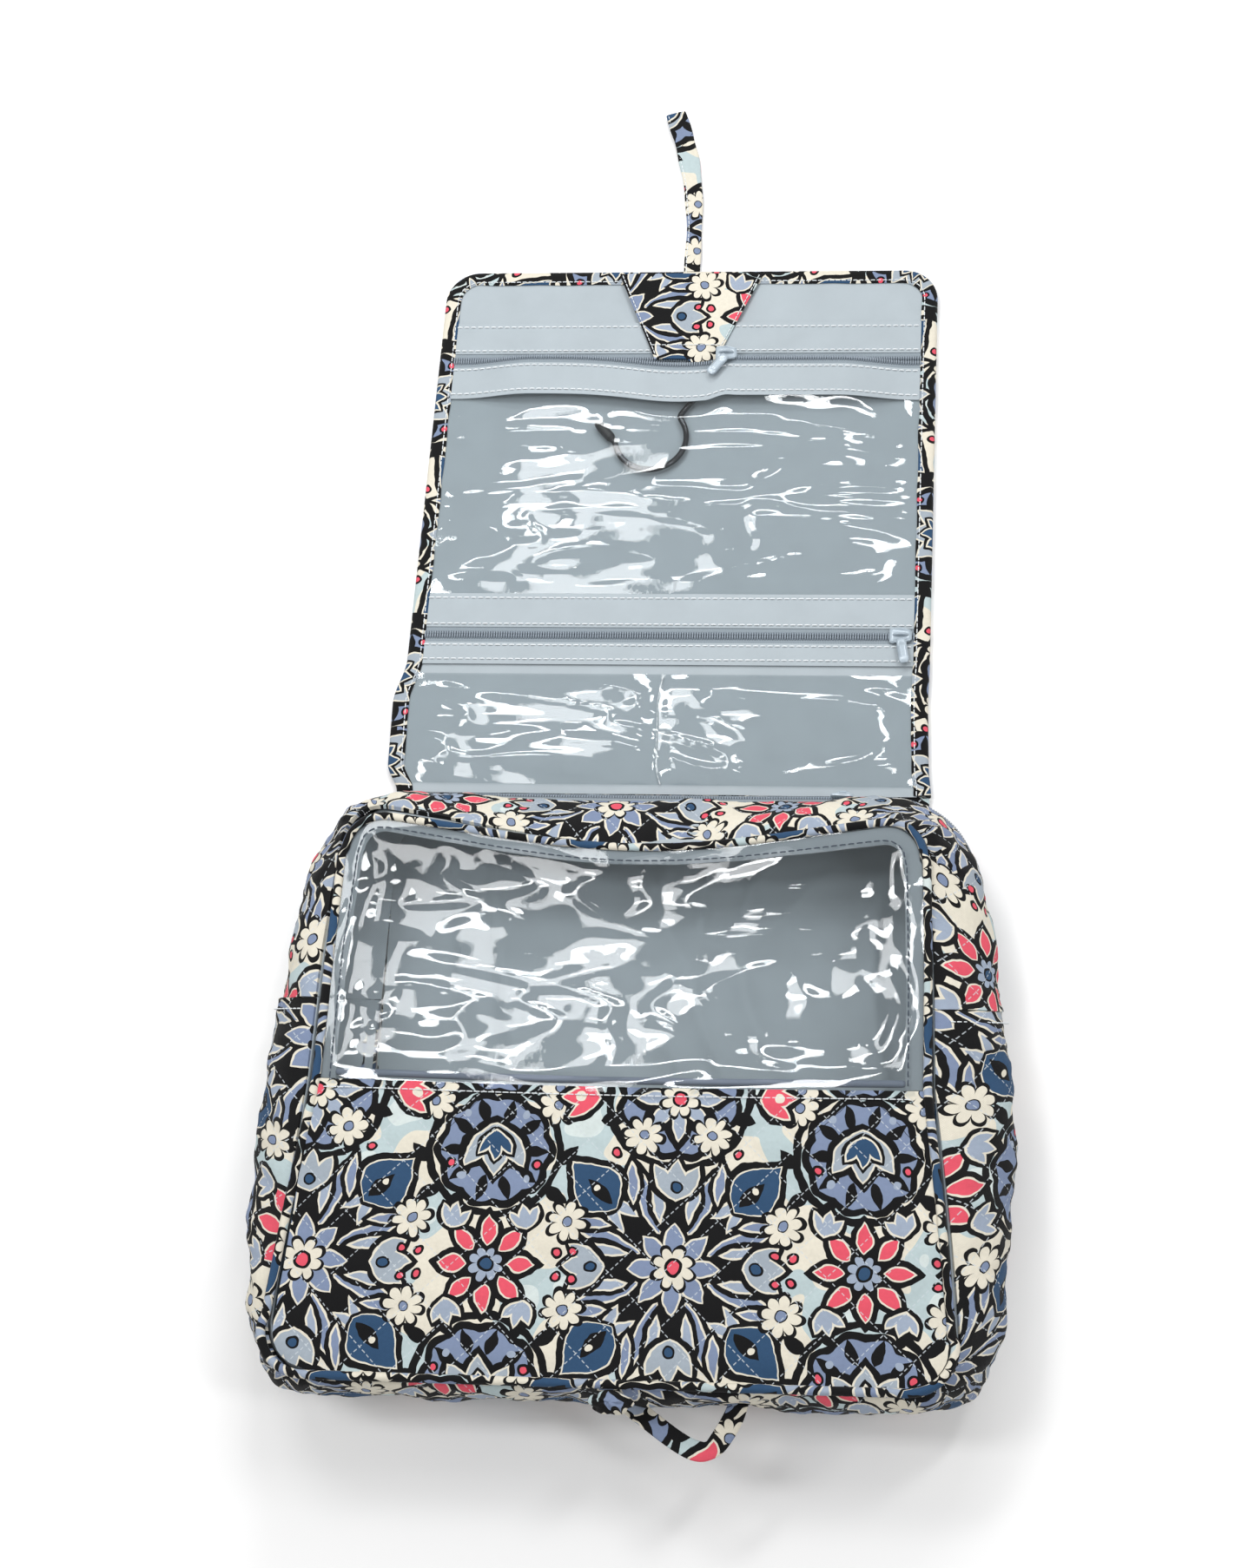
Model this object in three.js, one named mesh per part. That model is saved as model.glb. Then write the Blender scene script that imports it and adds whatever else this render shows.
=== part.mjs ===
// Hanging toiletry bag, lying open on its back.
// Millimetres. +X is across the bag, +Y runs from the box towards the flap and its strap, +Z is up, out of
// the box's front. The origin is on the outer face of the back panel, under the top edge of the box.
import * as THREE from 'three';

// ---- driving dimensions ----------------------------------------------------------------------------------
const GAP = 0.3; // air between pieces that touch on the real bag
const FABRIC = 2.6; // quilted shell fabric
const LINING = 0.7; // plain lining fabric
const FILM = 0.6; // clear film
const PIPING = 1.6; // radius of the covered cord along the edges

const BACK_TOP = 9; // the back panel reaches this far past the box's top edge, to the flap
const BACK = { top: 0, bottom: -258, halfTop: 133, halfBottom: 136, cornerTop: 24, cornerBottom: 26 };
const BULGE = { top: 0, bottom: -281, halfTop: 162, halfBottom: 166, cornerTop: 50, cornerBottom: 44 };
const FRONT = { top: -23, bottom: -278, halfTop: 130, halfBottom: 146, cornerTop: 20, cornerBottom: 22 };
const WALL_LOW = 3.6; // height at which the wall around the box starts
const FRONT_TOP_Z = 50; // height of the front panel at its top edge
const FRONT_SLOPE = 0.068; // the front rises towards the bottom of the box
const BOX_LEAN = 0.2; // the soft box leans to the left by this much of its height
const SIDE_SEAM = { back: -97, bulge: -104, front: -111 }; // where the upper gusset is sewn to the lower one
const LID_FOLD = -112; // the window folds here when the box is opened
const ZIP_RISE = { top: 0.42, side: 0.24 }; // where the main zip runs on the wall, from 0 at the back to 1
const WINDOW_BOTTOM = -148; // seam of the window to the quilted front
const BINDING_WIDTH = 9; // strip around the inside of the window

const FLAP_HALF = 131;
const FLAP_LEAN = 0.03; // past its upper fold the flap veers to the right by this much of its length
const HINGE_LOWER = { y: 12, z: 4 }; // fold between the box and the flap's lower segment
const HINGE_UPPER = { y: 74, z: 4 }; // fold between the flap's two segments
const FLAP_TOP = 307;
const FLAP_CORNER = 18;
const FLAP_BINDING = 8; // width of the printed binding around the flap
const POCKET_RISE = 5.6; // how far the upper film stands off the lining over the hook

const ZIP_UPPER_Y = 251.8; // line between the coils of the upper zip
const ZIP_LOWER_Y = 93.5; // the same for the lower zip
const COIL = 1.5; // width and height of a zip coil
const TAPE = 0.6; // thickness of zip tape
const TAPE_WIDTH = 4.5;
const BAND_WIDTH = 16; // lining band sewn over each zip tape

const TAB = { top: 303, bottom: 252.5, halfTop: 38, halfBottom: 16.7, low: 6.3, high: 7.7 };
const PIVOT = new THREE.Vector2(18, 243.5); // rivet that the hook turns on
const HOOK_Z = 7;
const HOOK_WIRE = 1.5; // radius
const HOOK_CENTRE = new THREE.Vector2(-15.4, 204.5);
const HOOK_BEND = 18.5; // radius of the hook's bend, to the middle of its wire

// ---- colours ---------------------------------------------------------------------------------------------
const finish = (color, roughness, metalness = 0) => ({ color, roughness, metalness });
const PRINT = finish(0x8793ab, 0.85);
const GREY_LINING = finish(0xa8b4bc, 0.8);
const GREY_TAPE = finish(0x98a6b2, 0.85);
const CLEAR = finish(0xd8e0e4, 0.08);
const DARK_CHROME = finish(0x4b4d50, 0.15, 1);
const PALE_ENAMEL = finish(0xbecdd4, 0.4, 0.1);
const RUBBER = finish(0x16181a, 0.7);

const bag = new THREE.Group();

function addPiece(name, geometry, look) {
  const mesh = new THREE.Mesh(geometry, new THREE.MeshStandardMaterial(look));
  mesh.name = name;
  bag.add(mesh);
  return mesh;
}

// ---- shapes ----------------------------------------------------------------------------------------------
const lerp = THREE.MathUtils.lerp;
const smooth = (value, from, to) => THREE.MathUtils.smoothstep(value, from, to);

/** A closed skin between two grids of points, outer(i, j) and inner(i, j), with rims around the edge. */
function shell(columns, rows, outer, inner) {
  const points = [];
  const faces = [];
  const stride = rows + 1;
  for (const side of [outer, inner]) {
    for (let i = 0; i <= columns; i++) {
      for (let j = 0; j <= rows; j++) {
        points.push(...side(i, j).toArray());
      }
    }
  }
  const inside = (columns + 1) * stride;
  const quad = (a, b, c, d) => faces.push(a, b, c, a, c, d);
  for (let i = 0; i < columns; i++) {
    for (let j = 0; j < rows; j++) {
      const a = i * stride + j;
      quad(a, a + stride, a + stride + 1, a + 1);
      quad(inside + a, inside + a + 1, inside + a + stride + 1, inside + a + stride);
    }
  }
  const rim = [];
  for (let i = 0; i < columns; i++) rim.push(i * stride);
  for (let j = 0; j < rows; j++) rim.push(columns * stride + j);
  for (let i = columns; i > 0; i--) rim.push(i * stride + rows);
  for (let j = rows; j > 0; j--) rim.push(j);
  rim.forEach((a, n) => {
    const b = rim[(n + 1) % rim.length];
    quad(b, a, inside + a, inside + b);
  });
  const geometry = new THREE.BufferGeometry();
  geometry.setAttribute('position', new THREE.Float32BufferAttribute(points, 3));
  geometry.setIndex(faces);
  if (signedVolume(geometry) < 0) {
    const flipped = [];
    for (let k = 0; k < faces.length; k += 3) flipped.push(faces[k], faces[k + 2], faces[k + 1]);
    geometry.setIndex(flipped);
  }
  return geometry;
}

function signedVolume(geometry) {
  const at = geometry.getAttribute('position');
  const index = geometry.getIndex();
  const [a, b, c] = [new THREE.Vector3(), new THREE.Vector3(), new THREE.Vector3()];
  let volume = 0;
  for (let k = 0; k < index.count; k += 3) {
    a.fromBufferAttribute(at, index.getX(k));
    b.fromBufferAttribute(at, index.getX(k + 1));
    c.fromBufferAttribute(at, index.getX(k + 2));
    volume += a.dot(b.cross(c)) / 6;
  }
  return volume;
}

/** A flat shape between two heights. */
function slab(shape, low, high, curveSegments = 6) {
  const geometry = new THREE.ExtrudeGeometry(shape, { depth: high - low, bevelEnabled: false, curveSegments });
  return geometry.translate(0, 0, low);
}

const outline = (points) => new THREE.Shape(points.map(([x, y]) => new THREE.Vector2(x, y)));

const box = (x0, x1, y0, y1, z0, z1) =>
  new THREE.BoxGeometry(x1 - x0, y1 - y0, z1 - z0).translate((x0 + x1) / 2, (y0 + y1) / 2, (z0 + z1) / 2);

/** A straight-sided or curved rod with a round section, along a curve. */
function rod(curve, radius, steps, sides = 8) {
  const section = new THREE.Shape();
  for (let k = 0; k < sides; k++) {
    const turn = ((k + 0.5) * 2 * Math.PI) / sides;
    const place = [radius * Math.cos(turn), radius * Math.sin(turn)];
    if (k === 0) section.moveTo(...place);
    else section.lineTo(...place);
  }
  section.closePath();
  return new THREE.ExtrudeGeometry(section, { steps, extrudePath: curve, bevelEnabled: false });
}

const through = (points) =>
  new THREE.CatmullRomCurve3(points.map(([x, y, z]) => new THREE.Vector3(x, y, z)), false, 'centripetal');

/** A sheet over a rectangle, whose underside follows height(x, y). */
function sheet([x0, x1, columns], [y0, y1, rows], thickness, height) {
  const place = (i, j, lift) => {
    const x = lerp(x0, x1, i / columns);
    const y = lerp(y0, y1, j / rows);
    return new THREE.Vector3(x, y, height(x, y) + lift);
  };
  return shell(columns, rows, (i, j) => place(i, j, thickness), (i, j) => place(i, j, 0));
}

// ---- the box's wall --------------------------------------------------------------------------------------
// The wall is a surface between three rounded outlines: at the back, at the widest bulge, and at the front.
// Stations run once around it, from the middle of the top edge over the right side to the bottom and back.
const TOP_HALF_STEPS = 3;
const CORNER_STEPS = 4;
const UPPER_SIDE_STEPS = 2;
const LOWER_SIDE_STEPS = 3;
const BOTTOM_HALF_STEPS = 3;
const SEAM_STATION = TOP_HALF_STEPS + CORNER_STEPS + UPPER_SIDE_STEPS;
const HALF_STATIONS = SEAM_STATION + LOWER_SIDE_STEPS + CORNER_STEPS + BOTTOM_HALF_STEPS;

const frontHeight = (y) => FRONT_TOP_Z + FRONT_SLOPE * (FRONT.top - y);

/** The right half of a rounded outline, as points from its top middle to its bottom middle. */
function halfOutline(o, seam, inset) {
  const top = o.top - inset;
  const bottom = o.bottom + inset;
  const half = (y) => lerp(o.halfTop, o.halfBottom, (o.top - y) / (o.top - o.bottom)) - inset;
  const rTop = o.cornerTop - inset;
  const rBottom = o.cornerBottom - inset;
  const points = [];
  const straight = (x0, y0, x1, y1, steps) => {
    for (let k = 0; k < steps; k++) points.push([lerp(x0, x1, k / steps), lerp(y0, y1, k / steps)]);
  };
  const corner = (cx, cy, radius, from, steps) => {
    for (let k = 0; k < steps; k++) {
      const turn = from - (k / steps) * (Math.PI / 2);
      points.push([cx + radius * Math.cos(turn), cy + radius * Math.sin(turn)]);
    }
  };
  const xTop = half(top) - rTop;
  const xBottom = half(bottom) - rBottom;
  straight(0, top, xTop, top, TOP_HALF_STEPS);
  corner(xTop, top - rTop, rTop, Math.PI / 2, CORNER_STEPS);
  straight(half(top), top - rTop, half(seam), seam, UPPER_SIDE_STEPS);
  straight(half(seam), seam, half(bottom), bottom + rBottom, LOWER_SIDE_STEPS);
  corner(xBottom, bottom + rBottom, rBottom, 0, CORNER_STEPS);
  straight(xBottom, bottom, 0, bottom, BOTTOM_HALF_STEPS);
  points.push([0, bottom]);
  return points;
}

/** A point on the wall: station counts around it, rise goes from 0 at the back to 1 at the front. */
function wallSurface(inset) {
  const back = halfOutline(BACK, SIDE_SEAM.back, inset);
  const bulge = halfOutline(BULGE, SIDE_SEAM.bulge, inset);
  const front = halfOutline(FRONT, SIDE_SEAM.front, inset);
  return (station, rise) => {
    const mirrored = station > HALF_STATIONS;
    const n = mirrored ? 2 * HALF_STATIONS - station : station;
    const mix = (axis) => {
      const middle = 2 * bulge[n][axis] - (back[n][axis] + front[n][axis]) / 2;
      return (1 - rise) ** 2 * back[n][axis] + 2 * rise * (1 - rise) * middle + rise ** 2 * front[n][axis];
    };
    const z = lerp(WALL_LOW, frontHeight(front[n][1]), rise);
    return new THREE.Vector3(mirrored ? -mix(0) : mix(0), mix(1), z);
  };
}
/** The height at which the main zip runs: well up at the top edge, close to the back along the sides. */
const zipRise = (station) => {
  const n = Math.min(station, 2 * HALF_STATIONS - station);
  return lerp(ZIP_RISE.top, ZIP_RISE.side, smooth(n, TOP_HALF_STEPS, SEAM_STATION - 1));
};

/** A strip of the wall between two stations and two rises, rise0(station) and rise1(station). */
function wallStrip(first, last, rows, rise0, rise1, inset, thickness) {
  const outer = wallSurface(inset);
  const inner = wallSurface(inset + thickness);
  const at = (surface) => (i, j) => {
    const station = (first + i + 2 * HALF_STATIONS) % (2 * HALF_STATIONS);
    return surface(station, lerp(rise0(station), rise1(station), j / rows));
  };
  return shell(last - first, rows, at(outer), at(inner));
}

const constant = (value) => () => value;
const aboveZip = (offset) => (station) => zipRise(station) + offset;
const upperFrom = -SEAM_STATION;
const upperTo = SEAM_STATION;
const lowerFrom = SEAM_STATION;
const lowerTo = 2 * HALF_STATIONS - SEAM_STATION;

const FRONT_EDGE = 0.95; // the wall stops here, and leaves room for the piping

addPiece('lower_gusset', wallStrip(lowerFrom, lowerTo, 6, constant(0.01), constant(FRONT_EDGE), 0, FABRIC), PRINT);
addPiece(
  'lower_gusset_lining',
  wallStrip(lowerFrom, lowerTo, 6, constant(0.01), constant(FRONT_EDGE), FABRIC + GAP, LINING),
  GREY_LINING,
);

// the upper gusset and the zip stand off the side seam by a hair, so that the lid can lift
const SEAM_GAP = 0.4;
const upperStrip = (rows, rise0, rise1, inset, thickness) =>
  wallStrip(upperFrom, upperTo, rows, rise0, rise1, inset, thickness).translate(0, SEAM_GAP, 0);

addPiece('zip_flange', upperStrip(2, constant(0.01), aboveZip(-0.12), 0, FABRIC), PRINT);
addPiece('main_zip_tape_back', upperStrip(1, aboveZip(-0.11), aboveZip(-0.045), 0.6, TAPE), GREY_TAPE);
addPiece('main_zip_coil_back', upperStrip(1, aboveZip(-0.035), aboveZip(-0.005), 0, COIL), GREY_TAPE);
addPiece('main_zip_coil_lid', upperStrip(1, aboveZip(0.005), aboveZip(0.035), 0, COIL), GREY_TAPE);
addPiece('main_zip_tape_lid', upperStrip(1, aboveZip(0.045), aboveZip(0.11), 0.6, TAPE), GREY_TAPE);
addPiece('upper_gusset', upperStrip(4, aboveZip(0.12), constant(FRONT_EDGE), 0, FABRIC), PRINT);
addPiece(
  'upper_gusset_lining',
  upperStrip(4, aboveZip(0.12), constant(FRONT_EDGE), FABRIC + GAP, LINING),
  GREY_LINING,
);

// ---- the box's back --------------------------------------------------------------------------------------
const backCorner = 14;
function backShape(inset, top) {
  const x = BACK.halfTop - 2 * PIPING - inset;
  const y = BACK.bottom + 2 * PIPING + inset;
  const shape = new THREE.Shape();
  shape.moveTo(-x, top);
  shape.lineTo(-x, y + backCorner);
  shape.absarc(-x + backCorner, y + backCorner, backCorner, Math.PI, 1.5 * Math.PI, false);
  shape.absarc(x - backCorner, y + backCorner, backCorner, 1.5 * Math.PI, 2 * Math.PI, false);
  shape.lineTo(x, top);
  return shape;
}
const BACK_INNER = FABRIC + 0.4;
const BACK_LINING_Z = BACK_INNER + GAP;
addPiece('back_panel', slab(backShape(0, BACK_TOP), 0, BACK_INNER, 4), PRINT);
addPiece('back_lining', slab(backShape(4, -8), BACK_LINING_Z, BACK_LINING_Z + LINING, 4), GREY_LINING);

const backEdge = () => {
  const x = BACK.halfTop - 0.4;
  const y = BACK.bottom + 0.4;
  const r = backCorner + PIPING;
  const points = [[x, -2, PIPING], [x, -60, PIPING], [x, -120, PIPING], [x, y + r + 30, PIPING]];
  for (let k = 0; k <= 4; k++) {
    const turn = (-k * Math.PI) / 8;
    points.push([x - r + r * Math.cos(turn), y + r + r * Math.sin(turn), PIPING]);
  }
  points.push([x - r - 30, y, PIPING], [60, y, PIPING], [0, y, PIPING]);
  const left = points.slice(0, -1).reverse();
  return through([...points, ...left.map(([px, py, pz]) => [-px, py, pz])]);
};
addPiece('back_piping', rod(backEdge(), PIPING, 56, 6), PRINT);

// ---- the box's front -------------------------------------------------------------------------------------
/** Tilts a flat piece into the plane of the front, which rises towards the bottom of the box. */
function onFront(geometry) {
  const at = geometry.getAttribute('position');
  for (let k = 0; k < at.count; k++) at.setZ(k, at.getZ(k) + frontHeight(at.getY(k)));
  return geometry;
}

const frontHalf = (y) => lerp(FRONT.halfTop, FRONT.halfBottom, (FRONT.top - y) / (FRONT.top - FRONT.bottom));
const FRONT_INSET = 2 * PIPING + 0.9; // the panels end at the piping

function frontLower(inset, top) {
  const y = FRONT.bottom + inset;
  const r = FRONT.cornerBottom - inset;
  const x = frontHalf(y) - inset;
  const shape = new THREE.Shape();
  shape.moveTo(-frontHalf(top) + inset, top);
  shape.lineTo(-x, y + r);
  shape.absarc(-x + r, y + r, r, Math.PI, 1.5 * Math.PI, false);
  shape.absarc(x - r, y + r, r, 1.5 * Math.PI, 2 * Math.PI, false);
  shape.lineTo(frontHalf(top) - inset, top);
  return shape;
}

/** The window's outline above the lid's fold, and the same set in by a strip's width. */
function frontUpper(inset, bottom) {
  const y = FRONT.top - inset;
  const r = FRONT.cornerTop - inset;
  const x = frontHalf(y) - inset;
  const shape = new THREE.Shape();
  shape.moveTo(frontHalf(bottom) - inset, bottom);
  shape.lineTo(x, y - r);
  shape.absarc(x - r, y - r, r, 0, Math.PI / 2, false);
  shape.absarc(-x + r, y - r, r, Math.PI / 2, Math.PI, false);
  shape.lineTo(-frontHalf(bottom) + inset, bottom);
  return shape;
}

addPiece('front_panel', onFront(slab(frontLower(FRONT_INSET, WINDOW_BOTTOM - 0.6), -1.4, 1.4, 4)), PRINT);
addPiece(
  'front_panel_lining',
  onFront(slab(frontLower(FRONT_INSET + 2.5, WINDOW_BOTTOM - 3), -1.4 - GAP - LINING, -1.4 - GAP, 4)),
  GREY_LINING,
);

const foldHalf = frontHalf(LID_FOLD) - FRONT_INSET;
addPiece('window_film', onFront(slab(frontUpper(FRONT_INSET, LID_FOLD + 0.5), 0.2, 0.2 + FILM, 4)), CLEAR);
addPiece(
  'window_film_foot',
  onFront(slab(outline([
    [-foldHalf, LID_FOLD - 0.5],
    [-foldHalf - 0.9, WINDOW_BOTTOM],
    [foldHalf + 0.9, WINDOW_BOTTOM],
    [foldHalf, LID_FOLD - 0.5],
  ]), 0.2, 0.2 + FILM)),
  CLEAR,
);

function windowBinding() {
  const outer = frontUpper(FRONT_INSET + 0.4, LID_FOLD + 0.5);
  const inner = frontUpper(FRONT_INSET + BINDING_WIDTH, LID_FOLD + 0.5);
  const rim = [...outer.getPoints(4), ...inner.getPoints(4).reverse()];
  return onFront(slab(new THREE.Shape(rim), -1.1, -0.1, 4));
}
addPiece('window_binding', windowBinding(), GREY_LINING);
for (const [side, sign] of [['left', -1], ['right', 1]]) {
  const ends = [sign * (foldHalf - 0.4), sign * (foldHalf - BINDING_WIDTH)];
  const low = Math.min(...ends);
  const high = Math.max(...ends);
  const strip = box(low, high, WINDOW_BOTTOM + 0.5, LID_FOLD - 0.5, -1.1, -0.1);
  addPiece(`window_binding_foot_${side}`, onFront(strip), GREY_LINING);
}
addPiece(
  'window_lower_edging',
  onFront(box(-foldHalf + 10, foldHalf - 10, WINDOW_BOTTOM + 0.6, WINDOW_BOTTOM + 6, -2.6, -1.5)),
  GREY_LINING,
);

/** The line of the front piping on the right, between two heights of the front, from high to low. */
function frontPiping(isLid) {
  const inset = PIPING - 0.2;
  const edge = (x, y) => [x, y, frontHeight(y)];
  const half = (y) => frontHalf(y) - inset;
  const points = [];
  if (isLid) {
    const r = FRONT.cornerTop - inset;
    const y = FRONT.top - inset;
    points.push(edge(half(LID_FOLD), LID_FOLD + 0.6), edge(half(-75), -75), edge(half(y - r), y - r));
    for (let k = 1; k <= 3; k++) {
      const turn = (k * Math.PI) / 6;
      points.push(edge(half(y) - r + r * Math.cos(turn), y - r + r * Math.sin(turn)));
    }
    points.push(edge(60, y), edge(0, y));
  } else {
    const r = FRONT.cornerBottom - inset;
    const y = FRONT.bottom + inset;
    points.push(edge(half(LID_FOLD), LID_FOLD - 0.6), edge(half(-170), -170), edge(half(y + r), y + r));
    for (let k = 1; k <= 3; k++) {
      const turn = (-k * Math.PI) / 6;
      points.push(edge(half(y) - r + r * Math.cos(turn), y + r + r * Math.sin(turn)));
    }
    points.push(edge(60, y), edge(0, y));
  }
  const left = points.slice(0, -1).reverse().map(([x, y, z]) => [-x, y, z]);
  return through([...points, ...left]);
}
addPiece('front_piping_lid', rod(frontPiping(true), PIPING - 0.2, 44, 6), PRINT);
addPiece('front_piping_base', rod(frontPiping(false), PIPING - 0.2, 44, 6), PRINT);

// ---- main zip's slider -----------------------------------------------------------------------------------
const MAIN_SLIDER_X = 92;
const MAIN_ZIP_Z = lerp(WALL_LOW, frontHeight(FRONT.top), ZIP_RISE.top);
const MAIN_SLIDER_Y = 2.5;
addPiece(
  'main_zip_slider',
  slab(outline([[-4.5, -3.4], [4.5, -2.6], [4.5, 2.6], [-4.5, 3.4]]), 0, 1.2)
    .rotateX(-Math.PI / 2)
    .translate(MAIN_SLIDER_X, MAIN_SLIDER_Y, MAIN_ZIP_Z),
  PALE_ENAMEL,
);
const MAIN_PULL = { half: 2.4, thickness: 1.2, length: 15 };
addPiece(
  'main_zip_pull',
  box(-MAIN_PULL.half, MAIN_PULL.half, 0, MAIN_PULL.thickness, -MAIN_PULL.length, 0)
    .translate(MAIN_SLIDER_X, MAIN_SLIDER_Y + 1.5, MAIN_ZIP_Z + 1),
  PALE_ENAMEL,
);

// ---- bottom loop -----------------------------------------------------------------------------------------
const LOOP_Z = 50;
const LOOP_STRAP = 4.3; // half the strap's width
const LOOP = { left: 8, right: 54, apexX: 39, reach: -304, root: -284 };
function loopShape() {
  const shape = outline([
    [LOOP.left - LOOP_STRAP, LOOP.root],
    [LOOP.apexX - 5, LOOP.reach + 2],
    [LOOP.apexX, LOOP.reach],
    [LOOP.apexX + 5, LOOP.reach + 2],
    [LOOP.right + LOOP_STRAP, LOOP.root],
  ]);
  const hole = outline([
    [LOOP.left + 8, LOOP.root - 1.6],
    [LOOP.right - 6, LOOP.root - 1.6],
    [LOOP.apexX, LOOP.reach + 8.5],
  ]);
  shape.holes.push(hole);
  return shape;
}
addPiece('bottom_loop', slab(loopShape(), LOOP_Z - 1.4, LOOP_Z + 1.4), PRINT);
const TACK = { radius: 6, x: 4, y: FRONT.bottom - 6.5, z: frontHeight(FRONT.bottom) + 1.5 };
addPiece(
  'bottom_loop_tack',
  new THREE.SphereGeometry(TACK.radius, 8, 6)
    .scale(1.1, 0.6, 1)
    .translate(TACK.x, TACK.y, TACK.z),
  PRINT,
);

// ---- flap: shell, lining and binding ---------------------------------------------------------------------
const SHELL_TOP = FABRIC + 0.4;
const LINING_LOW = SHELL_TOP + GAP;
const LINING_TOP = LINING_LOW + LINING;
const ON_LINING = LINING_TOP + GAP;
const flapInner = FLAP_HALF - FLAP_BINDING;
const LOWER_SEGMENT = [HINGE_LOWER.y + 0.6, HINGE_UPPER.y - 0.6];
const UPPER_START = HINGE_UPPER.y + 0.6;

function flapShape(half, top, radius) {
  const shape = new THREE.Shape();
  shape.moveTo(-half, UPPER_START);
  shape.lineTo(half, UPPER_START);
  shape.lineTo(half, top - radius);
  shape.absarc(half - radius, top - radius, radius, 0, Math.PI / 2, false);
  shape.absarc(-half + radius, top - radius, radius, Math.PI / 2, Math.PI, false);
  return shape;
}
const coreHalf = flapInner + 4; // shell and lining run a little way into the folded binding
addPiece('flap_upper_shell', slab(flapShape(coreHalf, FLAP_TOP - 4, FLAP_CORNER - 4), 0, SHELL_TOP), PRINT);
const liningShape = flapShape(flapInner - GAP, FLAP_TOP - FLAP_BINDING - GAP, FLAP_CORNER - FLAP_BINDING);
addPiece('flap_upper_lining', slab(liningShape, LINING_LOW, LINING_TOP), GREY_LINING);
addPiece(
  'flap_lower_shell',
  box(-coreHalf, coreHalf, ...LOWER_SEGMENT, 0, SHELL_TOP),
  PRINT,
);
addPiece(
  'flap_lower_lining',
  box(-flapInner + GAP, flapInner - GAP, ...LOWER_SEGMENT, LINING_LOW, LINING_TOP),
  GREY_LINING,
);

/** The binding is folded over the edge: an outer lip beside the shell and a strip on top of it. */
function bindingProfile(inner, outer) {
  return [
    [inner, SHELL_TOP + GAP],
    [inner, SHELL_TOP + 1.7],
    [outer - 0.8, SHELL_TOP + 1.7],
    [outer, SHELL_TOP + 0.6],
    [outer, 0.2],
    [outer - 3.4, 0.2],
    [outer - 3.4, SHELL_TOP + GAP],
  ];
}
function lowerBinding(sign) {
  const points = bindingProfile(flapInner, FLAP_HALF).map(([x, z]) => new THREE.Vector2(x, z));
  const geometry = new THREE.ExtrudeGeometry(new THREE.Shape(points), {
    depth: LOWER_SEGMENT[1] - LOWER_SEGMENT[0],
    bevelEnabled: false,
  });
  geometry.rotateX(Math.PI / 2).translate(0, LOWER_SEGMENT[1], 0);
  return sign > 0 ? geometry : geometry.rotateZ(Math.PI).translate(0, LOWER_SEGMENT[0] + LOWER_SEGMENT[1], 0);
}
addPiece('flap_lower_binding_right', lowerBinding(1), PRINT);
addPiece('flap_lower_binding_left', lowerBinding(-1), PRINT);

/** Stations of the flap's edge, from the right fold over the top to the left fold: place and outward way. */
function flapEdge() {
  const places = [];
  const r = FLAP_CORNER;
  const cx = FLAP_HALF - r;
  const cy = FLAP_TOP - r;
  places.push([FLAP_HALF, UPPER_START, 1, 0], [FLAP_HALF, 180, 1, 0]);
  for (let k = 0; k <= 6; k++) {
    const turn = (k * Math.PI) / 12;
    places.push([cx + r * Math.cos(turn), cy + r * Math.sin(turn), Math.cos(turn), Math.sin(turn)]);
  }
  const left = [...places].reverse().map(([x, y, nx, ny]) => [-x, y, -nx, ny]);
  return [...places, ...left];
}
function flapBinding() {
  const edge = flapEdge();
  const profile = bindingProfile(0, FLAP_BINDING);
  const points = [];
  const faces = [];
  for (const [x, y, nx, ny] of edge) {
    for (const [out, z] of profile) {
      const inset = FLAP_BINDING - out;
      points.push(x - nx * inset, y - ny * inset, z);
    }
  }
  const n = profile.length;
  for (let i = 0; i + 1 < edge.length; i++) {
    for (let k = 0; k < n; k++) {
      const [a, b] = [i * n + k, i * n + ((k + 1) % n)];
      faces.push(a, b, b + n, a, b + n, a + n);
    }
  }
  const caps = THREE.ShapeUtils.triangulateShape(profile.map(([x, z]) => new THREE.Vector2(x, z)), []);
  const last = (edge.length - 1) * n;
  for (const [a, b, c] of caps) {
    faces.push(a, b, c, last + a, last + c, last + b);
  }
  const geometry = new THREE.BufferGeometry();
  geometry.setAttribute('position', new THREE.Float32BufferAttribute(points, 3));
  geometry.setIndex(faces);
  if (signedVolume(geometry) < 0) geometry.setIndex([...faces].reverse());
  return geometry;
}
addPiece('flap_upper_binding', flapBinding(), PRINT);

// ---- flap: pockets and zips ------------------------------------------------------------------------------
const zipHalf = flapInner - 1;
const riseAcross = (x) => 1 - smooth(Math.abs(x), 80, 119);
const pocketFloor = (x, y) => ON_LINING + POCKET_RISE * riseAcross(x) * smooth(y, 122, 166);
const flat = () => ON_LINING;
const across = [-zipHalf, zipHalf, 14];
const BAND = 0.8; // a folded band's thickness

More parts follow.
